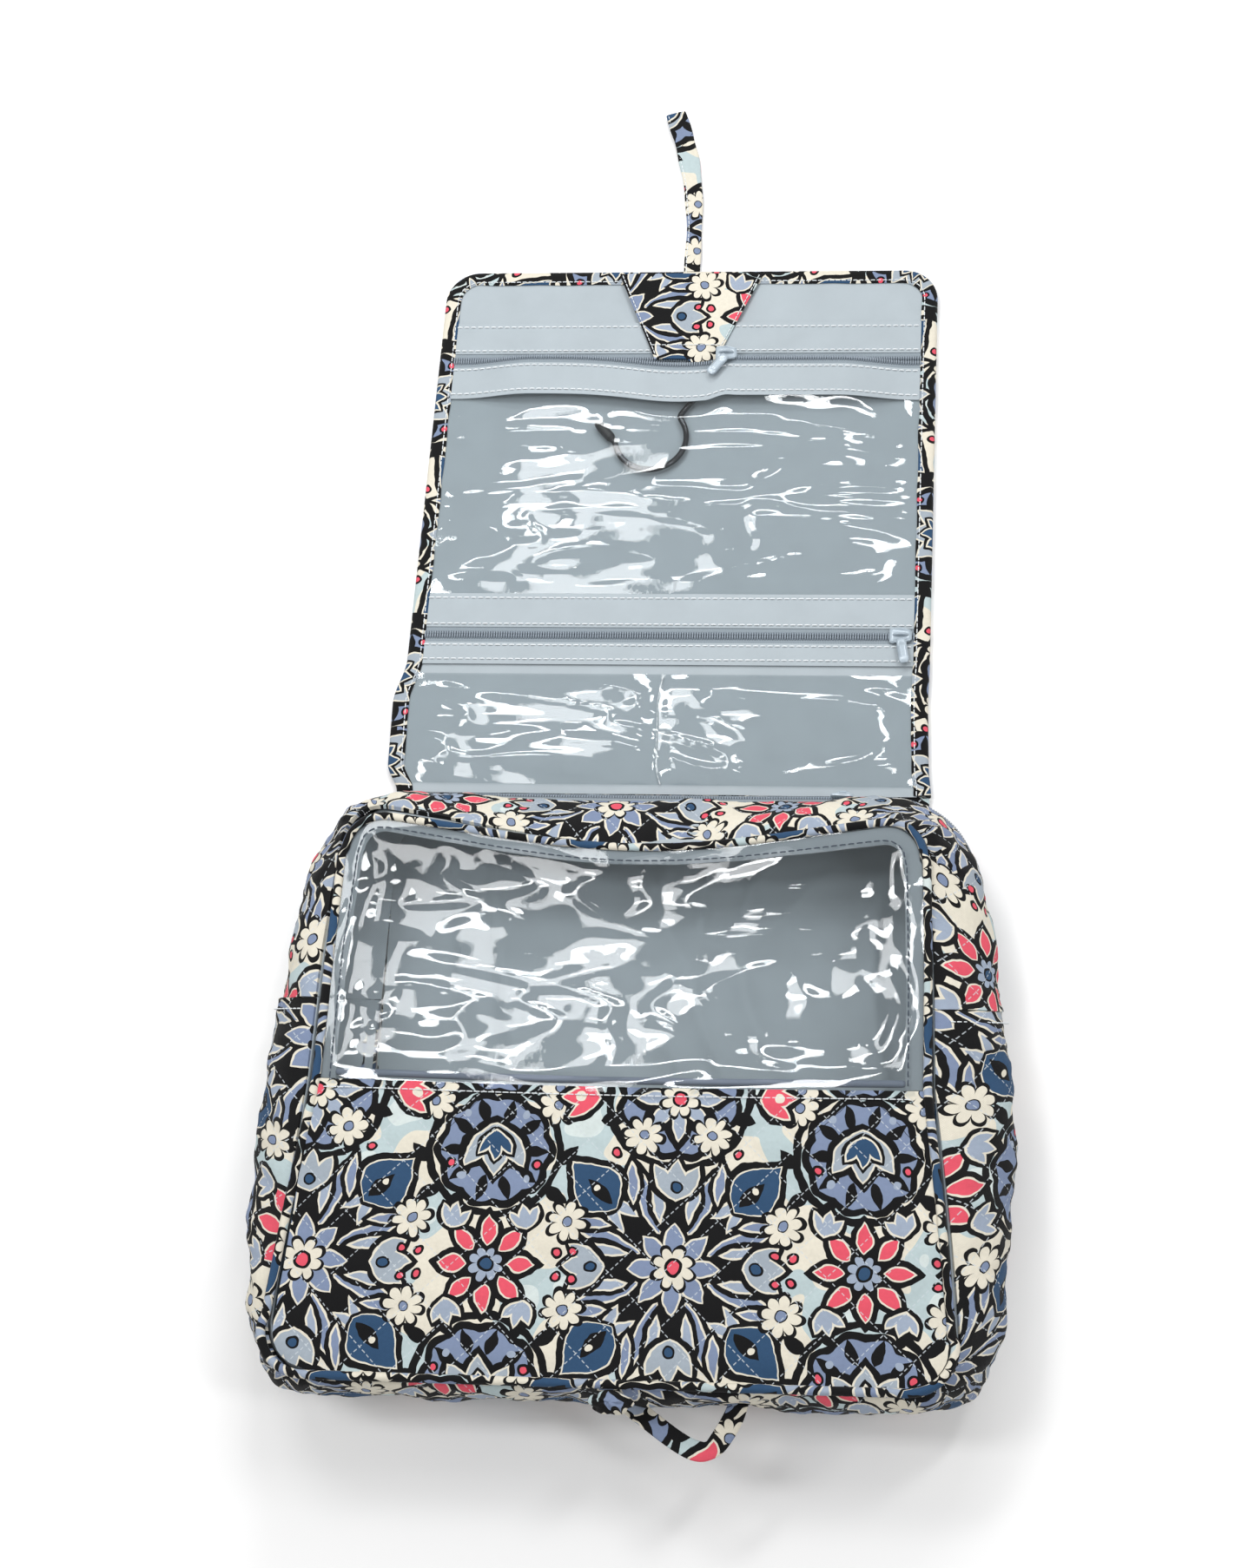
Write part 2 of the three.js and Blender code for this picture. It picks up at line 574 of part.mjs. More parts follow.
/** One zip of the flap: a band, a tape and a coil on each side of its line. */
function flapZip(name, line, floor) {
  const coilEdge = line + 0.2;
  const tapeEdge = coilEdge + COIL + GAP;
  const bandEdge = tapeEdge + TAPE_WIDTH + GAP;
  const lowCoil = line - 0.2;
  const lowTape = lowCoil - COIL - GAP;
  const lowBand = lowTape - TAPE_WIDTH - GAP;
  const strip = (from, width, thickness) =>
    box(-zipHalf, zipHalf, from, from + width, ON_LINING, ON_LINING + thickness);
  addPiece(`${name}_band_upper`, strip(bandEdge, BAND_WIDTH, BAND), GREY_LINING);
  addPiece(`${name}_tape_upper`, strip(tapeEdge, TAPE_WIDTH, TAPE), GREY_TAPE);
  addPiece(`${name}_coil_upper`, strip(coilEdge, COIL, COIL), GREY_TAPE);
  addPiece(`${name}_coil_lower`, sheet(across, [lowCoil - COIL, lowCoil, 1], COIL, floor), GREY_TAPE);
  addPiece(`${name}_tape_lower`, sheet(across, [lowTape - TAPE_WIDTH, lowTape, 1], TAPE, floor), GREY_TAPE);
  return lowBand;
}
const upperBandTop = flapZip('zip_upper', ZIP_UPPER_Y, pocketFloor);
const upperBandBottom = upperBandTop - BAND_WIDTH;
addPiece(
  'zip_upper_band_lower',
  sheet(across, [upperBandBottom, upperBandTop, 1], BAND, pocketFloor),
  GREY_LINING,
);

const lowerBandTop = flapZip('zip_lower', ZIP_LOWER_Y, flat);
const lowerBandBottom = UPPER_START + 4;
addPiece('zip_lower_band_lower', sheet(across, [lowerBandBottom, lowerBandTop, 1], 0.8, flat), GREY_LINING);

const POCKET_BOTTOM = ZIP_LOWER_Y + 0.2 + COIL + TAPE_WIDTH + BAND_WIDTH + 3 * GAP;
addPiece(
  'pocket_film_upper',
  sheet(across, [POCKET_BOTTOM, upperBandBottom - GAP, 10], FILM, pocketFloor),
  CLEAR,
);
const lowPocketFloor = (x, y) => {
  const sides = riseAcross(x);
  const ends = smooth(y, 14, 30) * (1 - smooth(y, 54, 70));
  return ON_LINING + 4.2 * sides * ends;
};
addPiece(
  'pocket_film_lower',
  sheet(across, [LOWER_SEGMENT[0] + 1, LOWER_SEGMENT[1] - 1, 8], FILM, lowPocketFloor),
  CLEAR,
);

/** A slider that rides on top of the coils: a plate with a raised bridge, widest where the coils part. */
const SLIDER_HALF = 3.8;
const SLIDER_LENGTH = 11;
function slider(x, y, z) {
  const plate = { half: SLIDER_LENGTH / 2, top: 1.2 };
  const bridge = { foot: 3.2, half: 2.4, top: 3 };
  const side = outline([
    [-plate.half, 0], [plate.half, 0], [plate.half, plate.top], [bridge.foot, plate.top],
    [bridge.half, bridge.top], [-bridge.half, bridge.top], [-bridge.foot, plate.top], [-plate.half, plate.top],
  ]);
  return new THREE.ExtrudeGeometry(side, { depth: 2 * SLIDER_HALF, bevelEnabled: false })
    .rotateX(Math.PI / 2)
    .translate(x, y + SLIDER_HALF, z);
}
function pullTab(length, slant, low) {
  const half = 2.6;
  const tab = outline([[-half, 0], [slant - half, -length], [slant + half, -length], [half, 0]]);
  return slab(tab, low, low + 1.2);
}
const UPPER_SLIDER = { x: 21.5, y: ZIP_UPPER_Y, z: ON_LINING + POCKET_RISE + COIL + GAP };
const LOWER_SLIDER = { x: 116, y: ZIP_LOWER_Y, z: ON_LINING + COIL + GAP };
for (const [name, at, length, slant] of [
  ['zip_upper', UPPER_SLIDER, 12, -9],
  ['zip_lower', LOWER_SLIDER, 12.5, 2],
]) {
  addPiece(`${name}_slider`, slider(at.x, at.y, at.z), PALE_ENAMEL);
  const pull = pullTab(length, slant, at.z + 2.8).translate(at.x, at.y - SLIDER_HALF - GAP, 0);
  addPiece(`${name}_pull`, pull, PALE_ENAMEL);
}

// ---- hook and its tab ------------------------------------------------------------------------------------
function tabShape() {
  const shape = outline([
    [-TAB.halfTop, TAB.top],
    [-TAB.halfBottom, TAB.bottom],
    [4, PIVOT.y + 2],
    [PIVOT.x - 4, PIVOT.y - 3],
    [PIVOT.x + 4, PIVOT.y - 3],
    [PIVOT.x + 5, PIVOT.y + 4],
    [TAB.halfBottom + 3, TAB.bottom],
    [TAB.halfTop, TAB.top],
  ]);
  const eyelet = new THREE.Path();
  eyelet.absarc(PIVOT.x, PIVOT.y, 2.1, 0, 2 * Math.PI, true);
  shape.holes.push(eyelet);
  return shape;
}
addPiece('hook_tab', slab(tabShape(), TAB.low, TAB.high, 5), PRINT);
addPiece(
  'hook_rivet',
  new THREE.LatheGeometry(
    [[0, 4.4], [1.8, 4.4], [1.8, 8], [3.2, 8], [3.2, 8.8], [0, 8.8]].map(([r, z]) => new THREE.Vector2(r, z)),
    12,
  ).rotateX(Math.PI / 2).translate(PIVOT.x, PIVOT.y, 0),
  DARK_CHROME,
);

const bendStart = THREE.MathUtils.degToRad(42);
const bendEnd = THREE.MathUtils.degToRad(-172);
const onBend = (turn) => [
  HOOK_CENTRE.x + HOOK_BEND * Math.cos(turn),
  HOOK_CENTRE.y + HOOK_BEND * Math.sin(turn),
  HOOK_Z,
];
const stemEnd = new THREE.Vector2(...onBend(bendStart));
const stemWay = stemEnd.clone().sub(PIVOT).normalize();
const alongStem = (distance) => PIVOT.clone().addScaledVector(stemWay, distance);
const tipWay = new THREE.Vector2(-0.66, 0.75);

const eye = new THREE.Shape();
eye.absarc(PIVOT.x, PIVOT.y, 4.4, 0, 2 * Math.PI, false);
const eyeHole = new THREE.Path();
eyeHole.absarc(PIVOT.x, PIVOT.y, 2.1, 0, 2 * Math.PI, true);
eye.holes.push(eyeHole);
addPiece('hook_eye', slab(eye, 4.4, 5.9, 6), DARK_CHROME);

const hookPoint = (point) => new THREE.Vector3(point.x, point.y, HOOK_Z);
const straightRod = (from, to, radius, sides) =>
  rod(new THREE.LineCurve3(hookPoint(from), hookPoint(to)), radius, 1, sides);
addPiece('hook_collar', straightRod(alongStem(6), alongStem(14), 2.1, 10), DARK_CHROME);

function hookWire() {
  const start = alongStem(14 + GAP);
  const points = [[start.x, start.y, HOOK_Z], [...alongStem(18).toArray(), HOOK_Z]];
  const bends = 9;
  for (let k = 0; k <= bends; k++) points.push(onBend(lerp(bendStart, bendEnd, k / bends)));
  const last = new THREE.Vector2(...onBend(bendEnd));
  const end = last.clone().addScaledVector(tipWay, 3);
  points.push([end.x, end.y, HOOK_Z]);
  return { curve: through(points), end };
}
const wire = hookWire();
addPiece('hook_wire', rod(wire.curve, HOOK_WIRE, 34, 8), DARK_CHROME);
const tipStart = wire.end.clone().addScaledVector(tipWay, GAP);
addPiece('hook_tip', straightRod(tipStart, tipStart.clone().addScaledVector(tipWay, 12.5), 2.6, 10), RUBBER);

// ---- closure strap ---------------------------------------------------------------------------------------
const STRAP_HALF = 5.6;
const strapMiddle = new THREE.SplineCurve(
  [[0, 309.6], [-0.5, 341], [-3.4, 368], [-8.3, 390], [-14.6, 410]].map(([x, y]) => new THREE.Vector2(x, y)),
);
function strapPart(from, to, steps) {
  const edge = (i, side, z) => {
    const t = lerp(from, to, i / steps);
    const middle = strapMiddle.getPoint(t);
    const along = strapMiddle.getTangent(t);
    const out = new THREE.Vector2(along.y, -along.x).multiplyScalar(side * STRAP_HALF);
    return new THREE.Vector3(middle.x + out.x, middle.y + out.y, z);
  };
  return shell(steps, 1, (i, j) => edge(i, 2 * j - 1, 2.3), (i, j) => edge(i, 2 * j - 1, 0.1));
}
addPiece('strap_root', strapPart(0, 0.495, 5), PRINT);
addPiece('strap_end', strapPart(0.505, 1, 6), PRINT);

// ---- how the soft bag lies ---------------------------------------------------------------------------------
bag.traverse((piece) => {
  if (!piece.isMesh) return;
  const at = piece.geometry.getAttribute('position');
  for (let k = 0; k < at.count; k++) {
    const aboveWallFoot = at.getY(k) < HINGE_LOWER.y ? Math.max(0, at.getZ(k) - WALL_LOW) : 0;
    const pastFold = Math.max(0, at.getY(k) - HINGE_UPPER.y);
    at.setX(k, at.getX(k) - BOX_LEAN * aboveWallFoot + FLAP_LEAN * pastFold);
  }
});

export default bag;
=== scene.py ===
import math

import bpy
import numpy as np
from mathutils import Matrix, Vector


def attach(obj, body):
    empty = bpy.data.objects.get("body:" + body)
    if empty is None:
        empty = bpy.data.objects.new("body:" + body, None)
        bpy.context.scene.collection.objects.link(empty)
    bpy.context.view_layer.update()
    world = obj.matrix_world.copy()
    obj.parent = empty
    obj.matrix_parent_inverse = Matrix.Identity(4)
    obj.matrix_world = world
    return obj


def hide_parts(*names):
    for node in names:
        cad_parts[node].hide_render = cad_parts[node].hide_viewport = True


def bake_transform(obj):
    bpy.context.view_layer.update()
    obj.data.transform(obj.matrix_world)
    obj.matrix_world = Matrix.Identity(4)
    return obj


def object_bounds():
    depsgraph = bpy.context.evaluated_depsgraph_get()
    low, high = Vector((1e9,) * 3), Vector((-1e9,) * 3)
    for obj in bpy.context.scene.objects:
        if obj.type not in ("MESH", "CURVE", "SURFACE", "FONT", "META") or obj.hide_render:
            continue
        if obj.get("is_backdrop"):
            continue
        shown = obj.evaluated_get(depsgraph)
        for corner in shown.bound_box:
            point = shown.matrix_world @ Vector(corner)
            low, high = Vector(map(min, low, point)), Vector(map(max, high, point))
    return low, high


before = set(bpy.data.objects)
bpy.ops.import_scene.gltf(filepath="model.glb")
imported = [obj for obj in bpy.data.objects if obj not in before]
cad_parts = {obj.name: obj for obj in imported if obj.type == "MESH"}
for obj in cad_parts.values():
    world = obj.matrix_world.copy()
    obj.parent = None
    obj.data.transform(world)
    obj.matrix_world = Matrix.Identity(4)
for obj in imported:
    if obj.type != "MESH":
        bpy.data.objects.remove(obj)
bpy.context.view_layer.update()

MM = 0.001

# ---- driving dimensions, in millimetres, as in the CAD ----------------------------------------------------
PIPING = 1.6
FABRIC = 2.6
LINING = 0.7
BACK = dict(top=0, bottom=-258, half_top=133, half_bottom=136, corner_top=24, corner_bottom=26)
BULGE = dict(top=0, bottom=-281, half_top=162, half_bottom=166, corner_top=50, corner_bottom=44)
FRONT = dict(top=-23, bottom=-278, half_top=130, half_bottom=146, corner_top=20, corner_bottom=22)
SEAM = dict(back=-97, bulge=-104, front=-111)
WALL_LOW = 3.6
BACK_TOP = 9
FRONT_TOP_Z = 50
FRONT_SLOPE = 0.068
BOX_LEAN = 0.2
FLAP_LEAN = 0.03
LID_FOLD = -112
ZIP_TOP, ZIP_SIDE = 0.42, 0.24
WINDOW_BOTTOM = -148
FRONT_INSET = 4.1
FLAP_HALF = 131
FLAP_TOP = 307
FLAP_CORNER = 18
FLAP_BINDING = 8
FOLD_LOWER_Y = 12
FOLD_UPPER_Y = 74
FLAP_JOIN_Y = 43  # the flap's two pieces meet here, halfway along the lower segment
ON_LINING = 4.3
POCKET_RISE = 5.6
ZIP_UPPER_Y = 251.8
ZIP_LOWER_Y = 93.5
BAND_WIDTH = 16
TAPE_WIDTH = 4.5
COIL = 1.5
PIVOT = np.array([18, 243.5])
HOOK_Z = 7
HOOK_WIRE = 1.5
HOOK_CENTRE = np.array([-15.4, 204.5])
HOOK_BEND = 18.5
QUILT = 23  # spacing of the quilting lines
PRINT_CENTRE = (27.7, -228)  # middle of a medallion on the front panel


# ---- number fields ----------------------------------------------------------------------------------------
def lerp(a, b, t):
    return a + (b - a) * t


def smooth(x, low, high):
    t = np.clip((x - low) / (high - low), 0, 1)
    return t * t * (3 - 2 * t)


def swell(x, y, seed, wave, octaves=3, fade=1.7):
    """Smooth irregular waves between about -1 and 1."""
    rng = np.random.default_rng(seed)
    total = 0
    for k in range(octaves * 3):
        way = rng.uniform(0, 2 * math.pi)
        phase = rng.uniform(0, 2 * math.pi)
        step = wave / 1.8 ** (k // 3)
        along = x * math.cos(way) + y * math.sin(way)
        total = total + np.sin(along * 2 * math.pi / step + phase) / fade ** (k // 3)
    return total / 3


def creases(x, y, seed, wave):
    """Ridges: sharp along irregular lines, flat between them."""
    bent_x = x + 0.35 * wave * swell(x, y, seed + 1, 1.7 * wave, 1)
    bent_y = y + 0.35 * wave * swell(x, y, seed + 2, 1.7 * wave, 1)
    return (1 - np.minimum(1, np.abs(swell(bent_x, bent_y, seed, wave, 1)) * 1.6)) ** 2


def dome(t):
    """From 0 to 1, level at its end, as t goes from 0 to 1."""
    return np.sin(np.clip(t, 0, 1) * math.pi / 2)


def pair(x, y):
    return np.stack([x, y], -1)


def puff(u, v, height=1.4):
    """Pillows between two sets of diagonal quilting lines."""
    a = np.abs(np.sin(math.pi * (u + v) / QUILT))
    b = np.abs(np.sin(math.pi * (u - v) / QUILT))
    return height * (np.minimum(a, b) ** 0.55)


def lean(p):
    """The soft box leans to the left, and the flap veers to the right."""
    p = p.copy()
    low = p[:, 1] < FOLD_LOWER_Y
    p[:, 0] -= np.where(low, BOX_LEAN * np.maximum(0, p[:, 2] - WALL_LOW), 0)
    p[:, 0] += FLAP_LEAN * np.maximum(0, p[:, 1] - FOLD_UPPER_Y)
    # the flap's lower segment is pulled to the left between its two folds
    pull = smooth(p[:, 1], 9, 24) * (1 - smooth(p[:, 1], 56, 80)) * (p[:, 2] < 14)
    p[:, 0] -= pull * np.interp(p[:, 0], [-131, 131], [5.5, 1.0])
    return p


# ---- node building ----------------------------------------------------------------------------------------
class Field:
    """A number at each point of a surface, as a socket of a node tree."""

    def __init__(self, tree, socket):
        self.tree = tree
        self.socket = socket

    def math(self, operation, *others):
        node = self.tree.nodes.new("ShaderNodeMath")
        node.operation = operation
        for slot, value in zip(node.inputs, (self, *others)):
            if isinstance(value, Field):
                self.tree.links.new(value.socket, slot)
            else:
                slot.default_value = value
        return Field(self.tree, node.outputs[0])

    def __add__(self, other):
        return self.math("ADD", other)

    def __sub__(self, other):
        return self.math("SUBTRACT", other)

    def __rsub__(self, other):
        return self.math("MULTIPLY", -1).math("ADD", other)

    def __mul__(self, other):
        return self.math("MULTIPLY", other)

    def __abs__(self):
        return self.math("ABSOLUTE")

    def __lt__(self, other):
        return self.math("LESS_THAN", other)

    def __gt__(self, other):
        return self.math("GREATER_THAN", other)

    def __pow__(self, other):
        return self.math("POWER", other)

    def least(self, other):
        return self.math("MINIMUM", other)

    def most(self, other):
        return self.math("MAXIMUM", other)

    def sine(self):
        return self.math("SINE")

    def fold(self, period):
        """Distance to the nearest multiple of period, so that what follows is mirrored there."""
        return abs(self.math("PINGPONG", period / 2))


def paint(tree, under, mask, rgb):
    """under, with the colour rgb where mask is 1."""
    node = tree.nodes.new("ShaderNodeMix")
    node.data_type = "RGBA"
    tree.links.new(mask.socket, node.inputs[0])
    if isinstance(under, tuple):
        node.inputs[6].default_value = (*under, 1)
    else:
        tree.links.new(under, node.inputs[6])
    if isinstance(rgb, tuple):
        node.inputs[7].default_value = (*rgb, 1)
    else:
        tree.links.new(rgb, node.inputs[7])
    return node.outputs[2]


def srgb(r, g, b):
    """Linear colour of an sRGB one."""
    return tuple(((c / 255) / 12.92 if c <= 10 else ((c / 255 + 0.055) / 1.055) ** 2.4) for c in (r, g, b))


BLACK = srgb(8, 8, 10)
CREAM = srgb(221, 215, 199)
AQUA = srgb(181, 197, 199)
SLATE = srgb(124, 138, 166)
PALE_SLATE = srgb(154, 166, 184)
NAVY = srgb(45, 75, 107)
CORAL = srgb(222, 84, 102)
PETAL = srgb(158, 168, 178)
THREAD = srgb(196, 203, 208)


# ---- the print: flowers, discs and leaves, mirrored on a tile ---------------------------------------------
TILE_X, TILE_Y = 160, 150


def rosette(x, y, at, petals, inner, outer, sharp=0.6, turn=0.0):
    """Less than 0 inside a ring of petals."""
    dx = x - at[0]
    dy = y - at[1]
    radius = ((dx * dx) + (dy * dy)).math("SQRT")
    angle = dy.math("ARCTAN2", dx)
    petal = abs(((angle - turn) * (petals / 2)).math("COSINE")) ** sharp
    return radius - (petal * (outer - inner) + inner)


def disc(x, y, at, radius):
    dx = x - at[0]
    dy = y - at[1]
    return ((dx * dx) + (dy * dy)).math("SQRT") - radius


def wheel(x, y, at, count):
    """Coordinates that repeat a shape around a centre: along its radius, and across it."""
    dx = x - at[0]
    dy = y - at[1]
    radius = ((dx * dx) + (dy * dy)).math("SQRT")
    angle = dy.math("ARCTAN2", dx).math("PINGPONG", math.pi / count)
    return radius * angle.math("COSINE"), radius * angle.math("SINE")


def leaf(x, y, at, angle, length, width, skew=0.35):
    """Less than 0 inside a pointed leaf that starts at a point and runs in a direction."""
    c, s = math.cos(math.radians(angle)), math.sin(math.radians(angle))
    dx = x - at[0]
    dy = y - at[1]
    along = ((dx * c + dy * s) * (2 / length) - 1).least(1.6).most(-1.6)
    across = abs(dy * c - dx * s)
    belly = (1 - along * along) * (1 - along * skew) * width
    return across - belly


def tulip(x, y, at, angle, size, spread=34):
    """Less than 0 inside a three-leaved bud."""
    c, s = math.cos(math.radians(angle)), math.sin(math.radians(angle))
    dx = x - at[0]
    dy = y - at[1]
    along = dx * c + dy * s
    across = abs(dy * c - dx * s)
    middle = leaf(along, across, (0, 0), 0, size, 0.26 * size, 0.2)
    side = leaf(along, across, (0, 0), spread, 0.98 * size, 0.2 * size, -0.1)
    return middle.least(side)


def make_print_group():
    group = bpy.data.node_groups.new("flower_print", "ShaderNodeTree")
    group.interface.new_socket("UV", in_out="INPUT", socket_type="NodeSocketVector")
    group.interface.new_socket("Color", in_out="OUTPUT", socket_type="NodeSocketColor")
    start = group.nodes.new("NodeGroupInput")
    end = group.nodes.new("NodeGroupOutput")
    split = group.nodes.new("ShaderNodeSeparateXYZ")
    group.links.new(start.outputs[0], split.inputs[0])
    u = Field(group, split.outputs[0])
    v = Field(group, split.outputs[1])
    # a little hand-drawn unevenness
    noise = group.nodes.new("ShaderNodeTexNoise")
    noise.inputs["Scale"].default_value = 0.11
    noise.inputs["Detail"].default_value = 2
    group.links.new(start.outputs[0], noise.inputs["Vector"])
    drift = group.nodes.new("ShaderNodeSeparateXYZ")
    group.links.new(noise.outputs["Color"], drift.inputs[0])
    u = u + (Field(group, drift.outputs[0]) - 0.5) * 3.2
    v = v + (Field(group, drift.outputs[1]) - 0.5) * 3.2
    x = (u - PRINT_CENTRE[0]).fold(TILE_X)
    y = (v - PRINT_CENTRE[1]).fold(TILE_Y)
    a = x.most(y)  # folded once more across the diagonal, for the medallion
    b = x.least(y)
    wide = group.nodes.new("ShaderNodeTexNoise")
    wide.inputs["Scale"].default_value = 0.035
    wide.inputs["Detail"].default_value = 1
    group.links.new(start.outputs[0], wide.inputs["Vector"])
    blotch = Field(group, wide.outputs["Fac"])
    colour = paint(group, CREAM, blotch > 0.52, AQUA)
    colour = paint(group, colour, blotch > 0.66, srgb(206, 216, 214))

    def motif(d, line, rim, fill, rim_width=0.9):
        nonlocal colour
        if line:
            colour = paint(group, colour, d < line, BLACK)
        if rim:
            colour = paint(group, colour, d < 0, rim)
            colour = paint(group, colour, d < -rim_width, fill)
        else:
            colour = paint(group, colour, d < 0, fill)

    # stems and scrolls between the flowers
    for at, radius, width in (((80, 50), 28.5, 1.7), ((0, 75), 31, 1.7)):
        ring = abs(disc(x, y, at, radius)) - width
        colour = paint(group, colour, ring < 0, BLACK)
    for at, angle, length, width in (
        ((34, 64), 165, 13, 3.2), ((57, 34), 215, 13, 3.0), ((62, 24), 50, 10, 2.6), ((51, 44), 130, 11, 2.8),
        ((30, 72), 60, 9, 2.6),
    ):
        motif(leaf(x, y, at, angle, length, width), 0, None, BLACK)
    # disc with a bud
    motif(rosette(x, y, (80, 50), 10, 21.5, 23.5, 1.4), 3.2, None, SLATE)
    motif(leaf(*wheel(x, y, (80, 50), 10), (12, 0), 0, 12, 2.4), 0, None, BLACK)
    motif(tulip(x, y, (80, 62), -90, 24), 3.2, CREAM, PETAL)
    motif(tulip(x, y, (80, 59), -90, 14), 1.6, CREAM, NAVY)
    # disc with a cream flower, between two medallions
    motif(rosette(x, y, (0, 75), 12, 23, 25.5, 1.2, 0.26), 3.2, None, SLATE)
    motif(leaf(*wheel(x, y, (0, 75), 8), (2, 0), 0, 22, 6.6), 0, None, BLACK)
    motif(leaf(*wheel(x, y, (0, 75), 8), (5, 0), 0, 15, 3.4), 0, CREAM, PALE_SLATE, 0.8)
    motif(rosette(x, y, (0, 75), 8, 4, 8.5, 0.5, 0.39), 1.6, None, CREAM)
    motif(disc(x, y, (0, 75), 2.6), 1.2, None, CORAL)
    # coral rosette
    motif(leaf(*wheel(x, y, (80, 0), 8), (2, 0), 0, 23, 6.4, 0.1), 0, None, BLACK)
    motif(leaf(*wheel(x, y, (80, 0), 8), (8, 0), 0, 13.5, 3.7, 0.2), 0, CREAM, CORAL, 0.8)
    motif(rosette(x, y, (80, 0), 8, 3.2, 7.4, 0.5, 0.39), 0.8, None, PALE_SLATE)
    motif(disc(x, y, (80, 0), 2.4), 1.1, None, NAVY)
    # medallion
    for at, angle, length, width in (((4, 2), 22.5, 49, 5.2), ((4, 0), 0, 46, 5.0), ((2, 2), 45, 40, 6)):
        motif(leaf(a, b, at, angle, length, width), 0, None, BLACK)
    motif(leaf(a, b, (13, 5.4), 22.5, 35, 3.7, 0.1), 2.0, CREAM, SLATE)
    motif(leaf(a, b, (19, 6), 8, 23, 2.7, 0.1), 2.2, CREAM, PALE_SLATE)
    motif(leaf(a, b, (22, 15), 62, 19, 2.7, 0.1), 1.9, CREAM, PALE_SLATE)
    motif(leaf(a, b, (27, 18), 4, 20, 2.6, 0.1), 2.0, CREAM, SLATE)
    motif(tulip(a, b, (29, 0), 0, 19, 32), 2.6, CREAM, PETAL)
    motif(disc(a, b, (35, 0), 1.9), 0.9, None, NAVY)
    motif(leaf(a, b, (25, 25), 45, 29, 10.5, 0.5), 3.4, CREAM, NAVY, 0.8)
    motif(leaf(a, b, (27, 27), 45, 15, 3.2, 0.1), 0, None, BLACK)
    motif(disc(a, b, (34, 34), 1.5), 0, None, CREAM)
    motif(leaf(*wheel(x, y, (0, 0), 8), (4, 0), 0, 16, 4.2, 0.1), 2.2, CREAM, SLATE)
    motif(rosette(x, y, (0, 0), 8, 5, 9, 0.6, 0.39), 1.6, None, CREAM)
    motif(disc(x, y, (0, 0), 2.8), 1.3, None, CORAL)
    # daisies, buds and berries
    for at in ((46, 19), (15, 58), (53, 71)):
        motif(rosette(x, y, at, 8, 3.8, 8.4, 0.5, 0.2), 1.9, None, CREAM)
        motif(disc(x, y, at, 1.9), 0.5, None, SLATE)
    motif(tulip(x, y, (35, 75), 0, 17), 2.8, CREAM, CORAL)
    motif(disc(x, y, (44, 75), 2.2), 0, None, CREAM)
    motif(tulip(x, y, (63, 15), 75, 12), 1.9, CREAM, PALE_SLATE)
    for at in ((43, 6), (50, 5), (26, 50), (61, 44)):
        motif(disc(x, y, at, 1.4), 1.1, None, CORAL)
    for at in ((94, 50), (67, 66), (66, 38), (16, 90)):
        motif(disc(x, y, at, 1.7), 0, None, PALE_SLATE)
    group.links.new(colour, end.inputs[0])
    return group


print_group = make_print_group()


# ---- materials --------------------------------------------------------------------------------------------
def new_material(name, roughness, metallic=0.0, **inputs):
    material = bpy.data.materials.new(name)
    material.use_nodes = True
    shader = material.node_tree.nodes["Principled BSDF"]
    shader.inputs["Roughness"].default_value = roughness
    shader.inputs["Metallic"].default_value = metallic
    for key, value in inputs.items():
        shader.inputs[key.replace("_", " ")].default_value = value
    return material, material.node_tree, shader


def uv_mm(tree):
    """The surface's own coordinates, in millimetres."""
    uv = tree.nodes.new("ShaderNodeUVMap")
    uv.uv_map = "UVMap"
    return uv.outputs[0]


def split_uv(tree, socket):
    split = tree.nodes.new("ShaderNodeSeparateXYZ")
    tree.links.new(socket, split.inputs[0])
    return Field(tree, split.outputs[0]), Field(tree, split.outputs[1])


def noise_at(tree, uv, scale, detail=3, rough=0.55):
    noise = tree.nodes.new("ShaderNodeTexNoise")
    noise.inputs["Scale"].default_value = scale
    noise.inputs["Detail"].default_value = detail
    noise.inputs["Roughness"].default_value = rough
    tree.links.new(uv, noise.inputs["Vector"])
    return Field(tree, noise.outputs["Fac"])


def weave_height(u, v, pitch):
    return (u * (2 * math.pi / pitch)).sine() * (v * (2 * math.pi / pitch)).sine()


def add_bump(tree, shader, height, distance, strength=1.0):
    bump = tree.nodes.new("ShaderNodeBump")
    bump.inputs["Distance"].default_value = distance * MM
    bump.inputs["Strength"].default_value = strength
    tree.links.new(height.socket, bump.inputs["Height"])
    tree.links.new(bump.outputs[0], shader.inputs["Normal"])


def shade(tree, colour, field, low, high):
    """colour, darker where field is low and lighter where it is high."""
    ramp = tree.nodes.new("ShaderNodeMapRange")
    ramp.inputs["To Min"].default_value = low
    ramp.inputs["To Max"].default_value = high
    tree.links.new(field.socket, ramp.inputs["Value"])
    node = tree.nodes.new("ShaderNodeMix")
    node.data_type = "RGBA"
    node.blend_type = "MULTIPLY"
    node.inputs[0].default_value = 1
    if isinstance(colour, tuple):
        node.inputs[6].default_value = (*colour, 1)
    else:
        tree.links.new(colour, node.inputs[6])
    tree.links.new(ramp.outputs[0], node.inputs[7])
    return node.outputs[2]


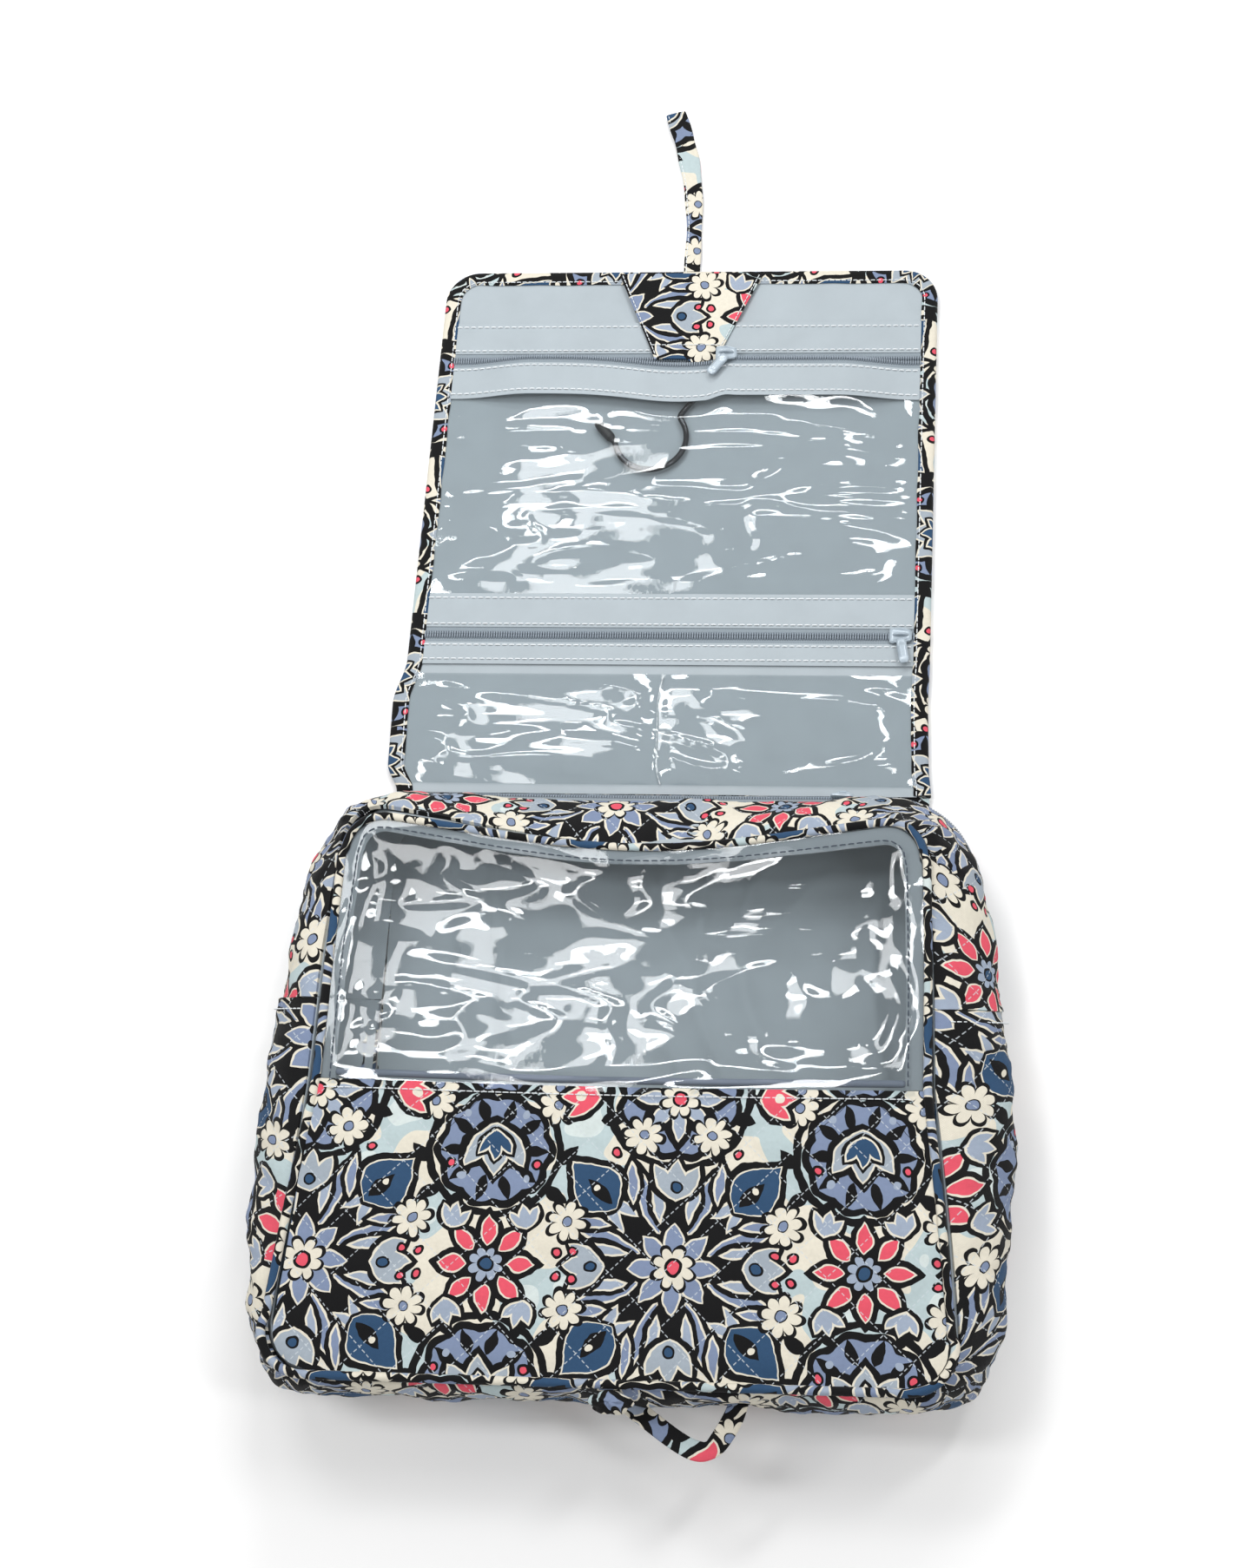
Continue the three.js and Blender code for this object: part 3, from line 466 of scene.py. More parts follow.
def printed_cloth(name, quilted):
    material, tree, shader = new_material(
        name, 0.85, Sheen_Weight=0.04, Sheen_Roughness=0.5, Specular_IOR_Level=0.25)
    uv = uv_mm(tree)
    u, v = split_uv(tree, uv)
    group = tree.nodes.new("ShaderNodeGroup")
    group.node_tree = print_group
    tree.links.new(uv, group.inputs[0])
    colour = shade(tree, group.outputs[0], noise_at(tree, uv, 0.6), 0.88, 1.08)
    colour = shade(tree, colour, weave_height(u, v, 0.7), 0.96, 1.03)
    height = weave_height(u, v, 0.7) * 0.35 + noise_at(tree, uv, 0.9)
    if quilted:
        # broken lines of pale quilting thread in the valleys
        for across, along in ((u + v, u - v), (u - v, u + v)):
            line = across.fold(QUILT) < 0.3
            dash = (along * (1 / 3.8)).math("FRACT") < 0.6
            colour = paint(tree, colour, line * dash * 0.7, THREAD)
    tree.links.new(colour, shader.inputs["Base Color"])
    add_bump(tree, shader, height, 0.16)
    return material


def plain_cloth(name, rgb, roughness=0.6, rib=0.0, sheen=0.2):
    material, tree, shader = new_material(name, roughness, Sheen_Weight=sheen, Sheen_Roughness=0.4)
    uv = uv_mm(tree)
    u, v = split_uv(tree, uv)
    soft = noise_at(tree, uv, 0.05, 4)
    colour = shade(tree, rgb, soft, 0.9, 1.08)
    fine = weave_height(u, v, 0.55)
    if rib:
        fine = fine + (u * (2 * math.pi / rib)).sine()
    colour = shade(tree, colour, fine, 0.96, 1.03)
    tree.links.new(colour, shader.inputs["Base Color"])
    add_bump(tree, shader, fine * 0.3 + soft * 3, 0.1)
    return material


def hard_finish(name, rgb, roughness, metallic, **inputs):
    material, tree, shader = new_material(name, roughness, metallic, **inputs)
    uv = uv_mm(tree)
    wear = noise_at(tree, uv, 0.5, 5, 0.7)
    tree.links.new(shade(tree, rgb, wear, 0.82, 1.12), shader.inputs["Base Color"])
    add_bump(tree, shader, noise_at(tree, uv, 2.2, 2), 0.02)
    ramp = tree.nodes.new("ShaderNodeMapRange")
    ramp.inputs["To Min"].default_value = roughness * 0.7
    ramp.inputs["To Max"].default_value = min(1, roughness * 1.4)
    tree.links.new(wear.socket, ramp.inputs["Value"])
    tree.links.new(ramp.outputs[0], shader.inputs["Roughness"])
    return material


def film_finish():
    """Clear soft plastic: what is behind shows, a little greyer, under sharp reflections."""
    material = bpy.data.materials.new("clear_film")
    material.use_nodes = True
    tree = material.node_tree
    tree.nodes.remove(tree.nodes["Principled BSDF"])
    clear = tree.nodes.new("ShaderNodeBsdfTransparent")
    clear.inputs[0].default_value = (0.915, 0.929, 0.934, 1)
    gloss = tree.nodes.new("ShaderNodeBsdfGlossy")
    gloss.inputs["Roughness"].default_value = 0.035
    facing = tree.nodes.new("ShaderNodeLayerWeight")
    facing.inputs["Blend"].default_value = 0.5
    uv = uv_mm(tree)
    bump = tree.nodes.new("ShaderNodeBump")
    bump.inputs["Distance"].default_value = 0.35 * MM
    bump.inputs["Strength"].default_value = 0.4
    tree.links.new(noise_at(tree, uv, 0.12, 2, 0.4).socket, bump.inputs["Height"])
    tree.links.new(bump.outputs[0], gloss.inputs["Normal"])
    tree.links.new(bump.outputs[0], facing.inputs["Normal"])
    edge_on = Field(tree, facing.outputs["Facing"]) ** 4.0 * 0.7 + 0.045
    mix = tree.nodes.new("ShaderNodeMixShader")
    tree.links.new(edge_on.socket, mix.inputs[0])
    tree.links.new(clear.outputs[0], mix.inputs[1])
    tree.links.new(gloss.outputs[0], mix.inputs[2])
    tree.links.new(mix.outputs[0], tree.nodes["Material Output"].inputs[0])
    return material


QUILTED = printed_cloth("quilted_print", True)
TRIM = printed_cloth("print_trim", False)
GREY = plain_cloth("lining", srgb(163, 173, 179), 0.55)
GREY_EDGE = plain_cloth("lining_edge", srgb(112, 122, 138), 0.55)
TAPE = plain_cloth("zip_tape", srgb(134, 145, 153), 0.75, 0.9)
COIL_GREY = plain_cloth("zip_coil", srgb(138, 149, 160), 0.35, 0, 0)
FILM = film_finish()
ENAMEL = hard_finish("zip_enamel", srgb(164, 177, 187), 0.35, 0.1, Coat_Weight=0.4, Coat_Roughness=0.15)
CHROME = hard_finish("dark_chrome", srgb(70, 71, 74), 0.12, 1.0)
RUBBER = hard_finish("hook_rubber", srgb(24, 26, 28), 0.42, 0.0)
THREAD_PALE = plain_cloth("thread_pale", srgb(226, 231, 234), 0.7)
THREAD_DARK = plain_cloth("thread_dark", srgb(64, 74, 86), 0.7)
GREY_BINDING = plain_cloth("lining_binding", srgb(140, 149, 155), 0.5)


# ---- meshes -----------------------------------------------------------------------------------------------
def add_piece(name, verts, faces, uvs, look, bodies, stands_for=(), slot=None, bend=None):
    """A mesh in millimetres, riding on one body; one given a bend rides on no body and is not bent."""
    mesh = bpy.data.meshes.new(name)
    verts = lean(np.asarray(verts, float))
    mesh.from_pydata((verts * MM).tolist(), [], [list(map(int, f)) for f in faces])
    layer = mesh.uv_layers.new(name="UVMap")
    index = np.zeros(len(mesh.loops), np.int32)
    mesh.loops.foreach_get("vertex_index", index)
    layer.data.foreach_set("uv", np.asarray(uvs, np.float32)[index].ravel())
    mesh.polygons.foreach_set("use_smooth", np.ones(len(mesh.polygons), bool))
    mesh.validate()
    mesh.set_sharp_from_angle(angle=math.radians(55))
    mesh.materials.append(look)
    piece = bpy.data.objects.new(name, mesh)
    bpy.context.scene.collection.objects.link(piece)
    if bend:
        y0, y1, z = bend
        y0 * MM
        z * MM
        y1 * MM
        z * MM
        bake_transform(piece)
    else:
        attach(piece, bodies)
    if stands_for:
        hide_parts(*stands_for)
    return piece


def skin(P, UV, thick, flip=False):
    """A closed sheet: the grid of points P, and the same set back by its thickness."""
    if flip:
        P, UV = P.transpose(1, 0, 2), UV.transpose(1, 0, 2)
        if np.ndim(thick) == 2:
            thick = thick.T
    n = np.cross(np.gradient(P, axis=0), np.gradient(P, axis=1))
    n /= np.linalg.norm(n, axis=2, keepdims=True) + 1e-9
    depth = np.broadcast_to(np.asarray(thick, float), P.shape[:2])[..., None]
    Q = P - n * depth
    nu, nv = P.shape[:2]
    idx = np.arange(nu * nv).reshape(nu, nv)
    a, b, c, d = idx[:-1, :-1], idx[1:, :-1], idx[1:, 1:], idx[:-1, 1:]
    outer = np.stack([a, b, c, d], -1).reshape(-1, 4)
    inner = outer[:, ::-1] + nu * nv
    loop = np.concatenate([idx[:-1, 0], idx[-1, :-1], idx[:0:-1, -1], idx[0, :0:-1]])
    after = np.roll(loop, -1)
    rim = np.stack([after, loop, loop + nu * nv, after + nu * nv], -1)
    verts = np.concatenate([P.reshape(-1, 3), Q.reshape(-1, 3)])
    uvs = np.concatenate([UV.reshape(-1, 2)] * 2)
    return verts, np.concatenate([outer, inner, rim]), uvs


def close_rings(verts, uvs, inward=False):
    """A closed skin over one ring of points after another, with a face on each end."""
    count, around = len(verts), len(verts[0])
    idx = np.arange(count * around).reshape(count, around)
    nxt = np.roll(idx, -1, axis=1)
    faces = np.stack([idx[:-1], nxt[:-1], nxt[1:], idx[1:]], -1).reshape(-1, 4).tolist()
    faces += [idx[0, ::-1].tolist(), idx[-1].tolist()]
    if inward:
        faces = [face[::-1] for face in faces]
    return np.concatenate(verts), faces, np.concatenate(uvs)


def frames_along(path):
    """Unit vectors at each point of a path: along it, and two across it that don't twist."""
    tangent = np.gradient(path, axis=0)
    tangent /= np.linalg.norm(tangent, axis=1, keepdims=True) + 1e-12
    side = np.cross(tangent[0], (0.0, 0.0, 1.0))
    if np.linalg.norm(side) < 1e-6:
        side = np.array([1.0, 0, 0])
    side /= np.linalg.norm(side)
    sides = [side]
    for t in tangent[1:]:
        side = sides[-1] - t * (sides[-1] @ t)
        sides.append(side / np.linalg.norm(side))
    sides = np.array(sides)
    return tangent, sides, np.cross(sides, tangent)


def arc_length(path):
    return np.concatenate([[0], np.cumsum(np.linalg.norm(np.diff(path, axis=0), axis=1))])


def tube(path, radius, sides=14, flat=1.0, uv_at=(0, 0), ripple=0.0):
    """A round cord along a path, with rounded ends."""
    path = np.asarray(path, float)
    n = len(path)
    radius = np.broadcast_to(np.asarray(radius, float), (n,)).copy()
    t, side, up = frames_along(path)
    length = arc_length(path)
    rings = []
    for k in (0.05, 0.45, 0.8):
        rings.append((0, k, -math.sqrt(1 - k * k)))
    for i in range(n):
        rings.append((i, 1.0, 0.0))
    for k in (0.8, 0.45, 0.05):
        rings.append((n - 1, k, math.sqrt(1 - k * k)))
    turn = np.arange(sides) * 2 * math.pi / sides
    verts, uvs = [], []
    for i, share, push in rings:
        r = radius[i] * share
        centre = path[i] + t[i] * push * radius[i]
        wave = 1 + ripple * np.sin(turn * 3 + length[i] * 1.3)
        across = np.outer(np.cos(turn) * wave, side[i]) + flat * np.outer(np.sin(turn) * wave, up[i])
        verts.append(centre + r * across)
        uvs.append(np.stack([np.full(sides, length[i] + uv_at[0]), uv_at[1] + turn * radius[i]], 1))
    return close_rings(verts, uvs, True)


def merge(parts):
    verts, faces, uvs, base = [], [], [], 0
    for v, f, uv in parts:
        verts.append(np.asarray(v))
        faces += [[int(i) + base for i in face] for face in f]
        uvs.append(np.asarray(uv))
        base += len(v)
    return np.concatenate(verts), faces, np.concatenate(uvs)


def resample(path, step):
    """Points at even distances along a path."""
    path = np.asarray(path, float)
    length = arc_length(path)
    places = np.linspace(0, length[-1], max(2, int(round(length[-1] / step)) + 1))
    return np.stack([np.interp(places, length, path[:, k]) for k in range(path.shape[1])], 1)


def stitches(path, pitch=3.0, share=0.66, radius=0.28, lift=0.1):
    """Thread: one small dash after another along a path."""
    places = resample(path, pitch)
    parts = []
    for a, b in zip(places[:-1], places[1:]):
        way = (b - a) * share
        s = np.linspace(0, 1, 5)[:, None]
        bow = np.array([0, 0.5, 0.7, 0.5, 0])[:, None] * radius
        dash = a + way * s + np.array([0, 0, 1.0]) * (bow + lift)
        parts.append(tube(dash, radius, 6))
    return merge(parts)


def lathe(profile, centre, sides=28):
    """A turned piece about Z: profile is (radius, height) from one end to the other."""
    profile = np.asarray(profile, float)
    turn = np.arange(sides) * 2 * math.pi / sides
    verts, uvs = [], []
    for r, h in profile:
        ring = [centre[0] + r * np.cos(turn), centre[1] + r * np.sin(turn), np.full(sides, h)]
        verts.append(np.stack(ring, 1))
        uvs.append(np.stack([turn * 4, np.full(sides, h + r)], 1))
    return close_rings(verts, uvs)


def arc(centre_x, centre_y, radius, start, end, count):
    return [(centre_x + radius * math.cos(a), centre_y + radius * math.sin(a))
            for a in np.linspace(start, end, count)]


def round_end(past, radius):
    """How far a rounded edge pulls in, at a distance past the start of its corner."""
    share = np.clip(past / radius, 0, 1)
    return radius - radius * np.sqrt(np.maximum(0, 1 - share**2))


def panel(y0, y1, half, step, corner):
    """Grid of (x, y) that fills a panel: rows from y0 up to y1, each as wide as half(y)."""
    rows = np.linspace(y0, y1, max(3, int(abs(y1 - y0) / step) + 1))
    # closer rows where the corners turn
    near = y0 + corner * (1 - np.cos(np.linspace(0, math.pi / 2, 9)))
    rows = np.concatenate([near, rows[rows > near[-1] + 0.5]])
    width = half(rows)
    across = np.linspace(-1, 1, max(5, int(2 * width.max() / step)))
    x = across[:, None] * width[None, :]
    return x, np.broadcast_to(rows, x.shape).copy()


# ---- the box's wall ---------------------------------------------------------------------------------------
TOP_HALF, CORNER, UPPER_SIDE, LOWER_SIDE, BOTTOM_HALF = 3, 4, 2, 3, 3
SEAM_STATION = TOP_HALF + CORNER + UPPER_SIDE
HALF_STATIONS = SEAM_STATION + LOWER_SIDE + CORNER + BOTTOM_HALF
# how much fuller (or slacker) the bulge is than straight lines, down the sides
FULLNESS_Y = [-281, -272, -260, -245, -225, -200, -160, -140, -100, -65, -40, 0]
FULLNESS = [6, 2.5, -2, -2.5, 0, 3, 5.6, 5.4, 2.6, -1, -4, 0]


def front_height(y):
    return FRONT_TOP_Z + FRONT_SLOPE * (FRONT["top"] - y)


def front_half(y):
    share = (FRONT["top"] - y) / (FRONT["top"] - FRONT["bottom"])
    return lerp(FRONT["half_top"], FRONT["half_bottom"], share)


SAG_Y, SAG_Z = 7.0, 9.0
# how much wider the soft front spreads than the CAD's straight edges, from its bottom to its top
SPREAD_Y = [-278, -209, -148, -90, -23]
SPREAD_LEFT = [0, 0, 1.4, 6, 8]
SPREAD_RIGHT = [3, 1.5, -1, 3, 6.5]
LIFT_LEFT, LIFT_RIGHT = 11, 6


def front_shape(x, y):
    """Where a point of the flat front goes: its top edge hangs in the middle and its top corners spread."""
    across = np.cos(np.clip(x / 126, -1, 1) * math.pi / 2) ** 1.3
    fade = np.exp(np.minimum(0, y - FRONT["top"]) / 46)
    out = np.where(x < 0, -np.interp(y, SPREAD_Y, SPREAD_LEFT), np.interp(y, SPREAD_Y, SPREAD_RIGHT))
    lift = np.where(x < 0, LIFT_LEFT, LIFT_RIGHT) * (1 - across)
    moved_x = x + out * np.clip(np.abs(x) / 130, 0, 1) ** 2
    return moved_x, y + fade * (lift - SAG_Y * across), front_height(y) - SAG_Z * across * fade


def on_front(x, y, lift):
    """Points on the front, at a height above its fabric."""
    moved_x, moved_y, z = front_shape(x, y)
    return np.stack([moved_x, moved_y, z + lift], -1)


def outline_at(o, seam, inset, s):
    """A point of a rounded outline at a station from 0, its top middle, to its bottom middle."""
    top, bottom = o["top"] - inset, o["bottom"] + inset
    span = o["top"] - o["bottom"]

    def half(y):
        return lerp(o["half_top"], o["half_bottom"], (o["top"] - y) / span) - inset

    r_top, r_bottom = o["corner_top"] - inset, o["corner_bottom"] - inset
    x_top, x_bottom = half(top) - r_top, half(bottom) - r_bottom
    ends = np.cumsum([0, TOP_HALF, CORNER, UPPER_SIDE, LOWER_SIDE, CORNER, BOTTOM_HALF])
    k = np.clip(np.searchsorted(ends, s, side="right") - 1, 0, 5)
    t = (s - ends[k]) / (ends[k + 1] - ends[k])
    turn = math.pi / 2 * (1 - t)
    xs = [
        x_top * t,
        x_top + r_top * np.cos(turn),
        lerp(half(top), half(seam), t),
        lerp(half(seam), half(bottom), t),
        x_bottom + r_bottom * np.sin(turn),
        x_bottom * (1 - t),
    ]
    ys = [
        top + 0 * t,
        top - r_top + r_top * np.sin(turn),
        lerp(top - r_top, seam, t),
        lerp(seam, bottom + r_bottom, t),
        bottom + r_bottom - r_bottom * np.cos(turn),
        bottom + 0 * t,
    ]
    return np.choose(k, xs), np.choose(k, ys)


def wall(station, rise, inset=0.0):
    """Points on the wall around the box: rise goes from 0 at the back to 1 at the front."""
    s = np.mod(station, 2 * HALF_STATIONS)
    mirrored = s > HALF_STATIONS
    n = np.where(mirrored, 2 * HALF_STATIONS - s, s)
    bx, by = outline_at(BACK, SEAM["back"], inset, n)
    mx, my = outline_at(BULGE, SEAM["bulge"], inset, n)
    fx, fy = outline_at(FRONT, SEAM["front"], inset, n)
    mx = mx + np.interp(my, FULLNESS_Y, FULLNESS) * np.clip(mx / 140, 0, 1) ** 2
    side = np.where(mirrored, -1, 1)
    fx, fy, fz = front_shape(fx * side, fy)
    fx = fx * side
    cx, cy = 2 * mx - (bx + fx) / 2, 2 * my - (by + fy) / 2
    x = (1 - rise) ** 2 * bx + 2 * rise * (1 - rise) * cx + rise**2 * fx
    y = (1 - rise) ** 2 * by + 2 * rise * (1 - rise) * cy + rise**2 * fy
    z = lerp(WALL_LOW, fz, rise)
    return np.stack([x * side, y, z], -1)


def zip_rise(station):
    s = np.mod(station, 2 * HALF_STATIONS)
    n = np.minimum(s, 2 * HALF_STATIONS - s)
    return lerp(ZIP_TOP, ZIP_SIDE, smooth(n, TOP_HALF, SEAM_STATION - 1))


def wall_uv(first, last, count, rows, rise0, rise1, shift=(0, 0)):
    """Stations, rises and flat coordinates of a strip of the wall."""
    fine = np.linspace(first, last, 400)
    run = arc_length(wall(fine, np.full(400, 0.55)))
    places = np.interp(np.linspace(0, run[-1], count), run, fine)
    s = np.repeat(places[:, None], rows, 1)
    r0, r1 = rise0(places)[:, None], rise1(places)[:, None]
    r = r0 + (r1 - r0) * np.linspace(0, 1, rows)[None, :]
    along = np.repeat(np.linspace(0, run[-1], count)[:, None], rows, 1)
    up = r * 74
    return s, r, np.stack([along + shift[0], up + shift[1]], -1)


def level(value):
    return lambda s: np.full(np.shape(s), float(value))


def by_zip(offset):
    return lambda s: zip_rise(s) + offset


def outward(P):
    """Unit normals of a wall grid, away from the box."""
    n = np.cross(np.gradient(P, axis=1), np.gradient(P, axis=0))
    return n / (np.linalg.norm(n, axis=2, keepdims=True) + 1e-9)


def gusset(name, first, last, count, rows, rise0, rise1, body, nodes, shift, up_shift=0.0):
    s, r, uv = wall_uv(first, last, count, rows, rise0, rise1, shift)
    P = wall(s, r)
    u, v = uv[..., 0], uv[..., 1]
    edge = smooth(r, rise0(s), rise0(s) + 0.06) * (1 - smooth(r, rise1(s) - 0.07, rise1(s)))
    # gathers along the seams, slack folds in the middle, and quilting
    gather = 0.231 * np.sin(u * 0.55 + 1.5 * np.sin(u * 0.13)) * (1 + 0.6 * smooth(np.abs(r - 0.5), 0.1, 0.5))
    push = edge * (puff(u, v, 0.8) + 1.7 * swell(u, v * 1.6, 11, 62, 2) + gather)
    P = P + outward(P) * (push - 1.1 + 0.5 * edge)[..., None]
    P[..., 1] += up_shift
    return add_piece(name, *skin(P, uv, FABRIC - 0.6, True), QUILTED, body, nodes, "quilted_print")


PRINT_SHIFT_BOX = (33, -160)
UP = (-SEAM_STATION, SEAM_STATION)
LOW = (SEAM_STATION, 2 * HALF_STATIONS - SEAM_STATION)
SEAM_GAP = 0.4
lower_gusset = gusset(
    "gusset_lower", *LOW, 300, 34, level(0.01), level(0.985), "box", ["lower_gusset"], PRINT_SHIFT_BOX)
upper_gusset = gusset(
    "gusset_upper", *UP, 240, 20, by_zip(0.1), level(0.985), "lid", ["upper_gusset"], (-41, -128), SEAM_GAP)
flange = gusset(
    "gusset_zip_flange", *UP, 240, 10, level(0.01), by_zip(-0.1), "box", ["zip_flange"], (12, -100), SEAM_GAP)


def gusset_lining(name, first, last, count, rows, rise0, rise1, body, nodes, shift, inset, depth):
    """A strip of lining along the wall, creased to a depth."""
    s, r, uv = wall_uv(first, last, count, rows, rise0, rise1)
    P = wall(s, r, inset)
    u, v = uv[..., 0], uv[..., 1]
    edge = smooth(r, rise0(s), rise0(s) + 0.1) * (1 - smooth(r, rise1(s) - 0.12, rise1(s)))
    folds = depth * (5.2 * creases(u * 0.32, v * 1.2, 21, 26) + 1.5 * swell(u, v, 5, 40, 2) ** 2)
    P = P - outward(P) * (folds * edge)[..., None]
    P[..., 1] += shift
    piece = add_piece(name, *skin(P, uv, LINING, True), GREY, body, nodes, "lining")


gusset_lining("gusset_lining_lower", *LOW, 260, 26, level(0.02), level(0.95), "box",
              ["lower_gusset_lining"], 0, FABRIC + 2.6, 1)
gusset_lining("gusset_lining_upper", *UP, 200, 16, by_zip(0.015), level(0.95), "lid",
              ["upper_gusset_lining"], SEAM_GAP, FABRIC + 2.6, 1)
gusset_lining("gusset_lining_flange", *UP, 200, 8, level(0.02), by_zip(-0.015), "box",
              [], SEAM_GAP, FABRIC + 3.8, 0.3)


# ---- main zip ---------------------------------------------------------------------------------------------
def teeth(path, up, reach, pitch=1.25, width=2.0, height=0.9):
    """Interlocking loops of a nylon coil, as short rounded bars across the zip's line."""
    places = resample(np.concatenate([path, up, reach], 1), pitch)
    parts = []
    for k, row in enumerate(places):
        at, lift, out = row[:3], row[3:6], row[6:]
        along = np.linspace(-0.5, 0.5, 5)[:, None]
        bar = at + out * along * width + lift * (height * np.array([0.1, 0.8, 1, 0.8, 0.1]))[:, None]
        parts.append(tube(bar, 0.46, 6))
    return merge(parts)


def strip(first, last, count, rise0, rise1, lift, thick, rows=4):
    s, r, uv = wall_uv(first, last, count, rows, rise0, rise1)
    P = wall(s, r)
    P = P + outward(P) * lift
    P[..., 1] += SEAM_GAP
    return skin(P, uv, thick, True)


add_piece("main_zip_tape_box", *strip(*UP, 220, by_zip(-0.13), by_zip(-0.02), -0.9, 0.6), TAPE, "box",
          ["main_zip_tape_back"], "zip_tape")
add_piece("main_zip_tape_lid_side", *strip(*UP, 220, by_zip(0.02), by_zip(0.13), -0.9, 0.6), TAPE, "lid",
          ["main_zip_tape_lid"], "zip_tape")
for name, offset, body, node in (
    ("main_zip_teeth_box", -0.018, "box", "main_zip_coil_back"),
    ("main_zip_teeth_lid", 0.018, "lid", "main_zip_coil_lid"),
):
    s = np.linspace(*UP, 260)[:, None]
    r = zip_rise(s) + offset
    line = wall(np.repeat(s, 3, 1), np.concatenate([r - 0.02, r, r + 0.02], 1))
    normal = outward(line)[:, 1]
    tangent_up = line[:, 2] - line[:, 0]
    tangent_up /= np.linalg.norm(tangent_up, axis=1, keepdims=True)
    path = line[:, 1] - normal * 0.8 + np.array([0, SEAM_GAP, 0])
    add_piece(name, *teeth(path, normal, tangent_up), COIL_GREY, body, [node], "zip_coil")

# ---- back panel -------------------------------------------------------------------------------------------
BACK_EDGE = 2 * PIPING
BACK_ROUND = 14
SHELL = 2.9  # thickness of a quilted panel that lies on the floor


def rounded(half_at, bottom, radius):
    """Half-width of a panel whose two lower corners are round."""
    def half(y):
        return half_at(y) - round_end(bottom + radius - y, radius)
    return half


back_half = rounded(lambda y: BACK["half_top"] - BACK_EDGE + 0 * y, BACK["bottom"] + BACK_EDGE, BACK_ROUND)
x, y = panel(BACK["bottom"] + BACK_EDGE, BACK_TOP, back_half, 2.3, BACK_ROUND)
uv = np.stack([x + 20, y], -1)
groove = 1.2 - puff(x + 20, y, 1.2)
P = np.stack([x, y, 0.02 + groove], -1)
verts, faces, uvs = skin(P, uv, groove - SHELL)
back = add_piece("back_quilted", verts, faces[:, ::-1], uvs, QUILTED, "box", ["back_panel"], "quilted_print")

LINING_INSET = 3.8
lining_half = rounded(lambda y: BACK["half_top"] - LINING_INSET + 0 * y, BACK["bottom"] + LINING_INSET, 20)
x, y = panel(BACK["bottom"] + LINING_INSET, -1, lining_half, 2.6, 20)
edge = (1 - smooth(np.abs(x), 100, 124)) * (1 - smooth(y, -40, -10))
z = 4.0 + edge * (1.6 * swell(x, y, 31, 90, 2) ** 2 + 3.2 * creases(x, y * 0.55, 33, 60))
P = np.stack([x, y, z], -1)
back_lining = add_piece("back_lining_cloth", *skin(P, pair(x, y), LINING), GREY, "box",
                        ["back_lining"], "lining")


def rounded_path(half_at, top, bottom, r_top, r_bottom):
    """A rounded outline, from the top middle over the right side to the bottom middle."""
    points = []
    xt, xb = half_at(top) - r_top, half_at(bottom) - r_bottom
    points += [(x, top) for x in np.linspace(0, xt, 40)[:-1]]
    points += arc(xt, top - r_top, r_top, math.pi / 2, 0, 14)[:-1]
    points += [(half_at(v), v) for v in np.linspace(top - r_top, bottom + r_bottom, 70)[:-1]]
    points += arc(xb, bottom + r_bottom, r_bottom, 0, -math.pi / 2, 14)[:-1]
    points += [(x, bottom) for x in np.linspace(xb, 0, 40)]
    return np.array(points)


# piping around the back, open at the flap
r = BACK_ROUND + PIPING
xb = BACK["half_top"] - 0.4
yb = BACK["bottom"] + 0.4
side = [(xb, v) for v in np.linspace(-2, yb + r, 60)[:-1]]
side += arc(xb - r, yb + r, r, 0, -math.pi / 2, 16)[:-1]
side += [(v, yb) for v in np.linspace(xb - r, 0, 50)]
side = np.array(side)
whole = np.concatenate([side, (side * [-1, 1])[-2::-1]])
path = np.column_stack([whole, np.full(len(whole), PIPING + 0.05)])
add_piece("back_piping_cord", *tube(path, PIPING, 12, 1.0, (5, -190), 0.03), TRIM, "box",
          ["back_piping"], "print_trim")

# ---- front ------------------------------------------------------------------------------------------------
front_bottom = FRONT["bottom"] + FRONT_INSET
front_round = FRONT["corner_bottom"] - FRONT_INSET
half = rounded(lambda y: front_half(y) - FRONT_INSET + 1.2, front_bottom, front_round)
x, y = panel(front_bottom - 1, WINDOW_BOTTOM - 0.2, half, 2.0, front_round)
edge = (1 - smooth(np.abs(x), half(y) - 5, half(y))) * smooth(y, front_bottom, front_bottom + 6) \
    * (1 - smooth(y, WINDOW_BOTTOM - 7, WINDOW_BOTTOM - 1))
lift = puff(x, y, 1.7) * (0.25 + 0.75 * edge) + 1.1 * swell(x, y, 41, 85, 2) * edge
P = on_front(x, y, 0.3 + lift)
front = add_piece("front_quilted", *skin(P, pair(x, y), 2.0), QUILTED, "box", ["front_panel"],
                  "quilted_print")
half = rounded(lambda y: front_half(y) - 7, front_bottom + 3, 15)
x, y = panel(front_bottom + 3, WINDOW_BOTTOM - 3, half, 4.0, 15)
P = on_front(x, y, 0.5 * swell(x, y, 44, 60, 1) - 2.2)
lining = add_piece("front_lining_cloth", *skin(P, pair(x, y), LINING), GREY, "box",
                   ["front_panel_lining"], "lining")
row = np.linspace(-front_half(WINDOW_BOTTOM) + 8, front_half(WINDOW_BOTTOM) - 8, 120)
line = on_front(row, np.full(120, WINDOW_BOTTOM - 4.2), 1.5)
add_piece("front_topstitch", *stitches(line, 3.2, 0.7, 0.26, 0.1), THREAD_PALE, "box")

# the span about the window's fold, between the box and the lid
FOLD_BEND = (LID_FOLD - 7, LID_FOLD + 7, front_height(LID_FOLD))


def window_half(inset):
    """Half-width of the window at an inset from the front's edge."""
    radius = FRONT["corner_top"] - inset

    def half(y):
        return front_half(y) - inset - round_end(y - (FRONT["top"] - inset - radius), radius)
    return half


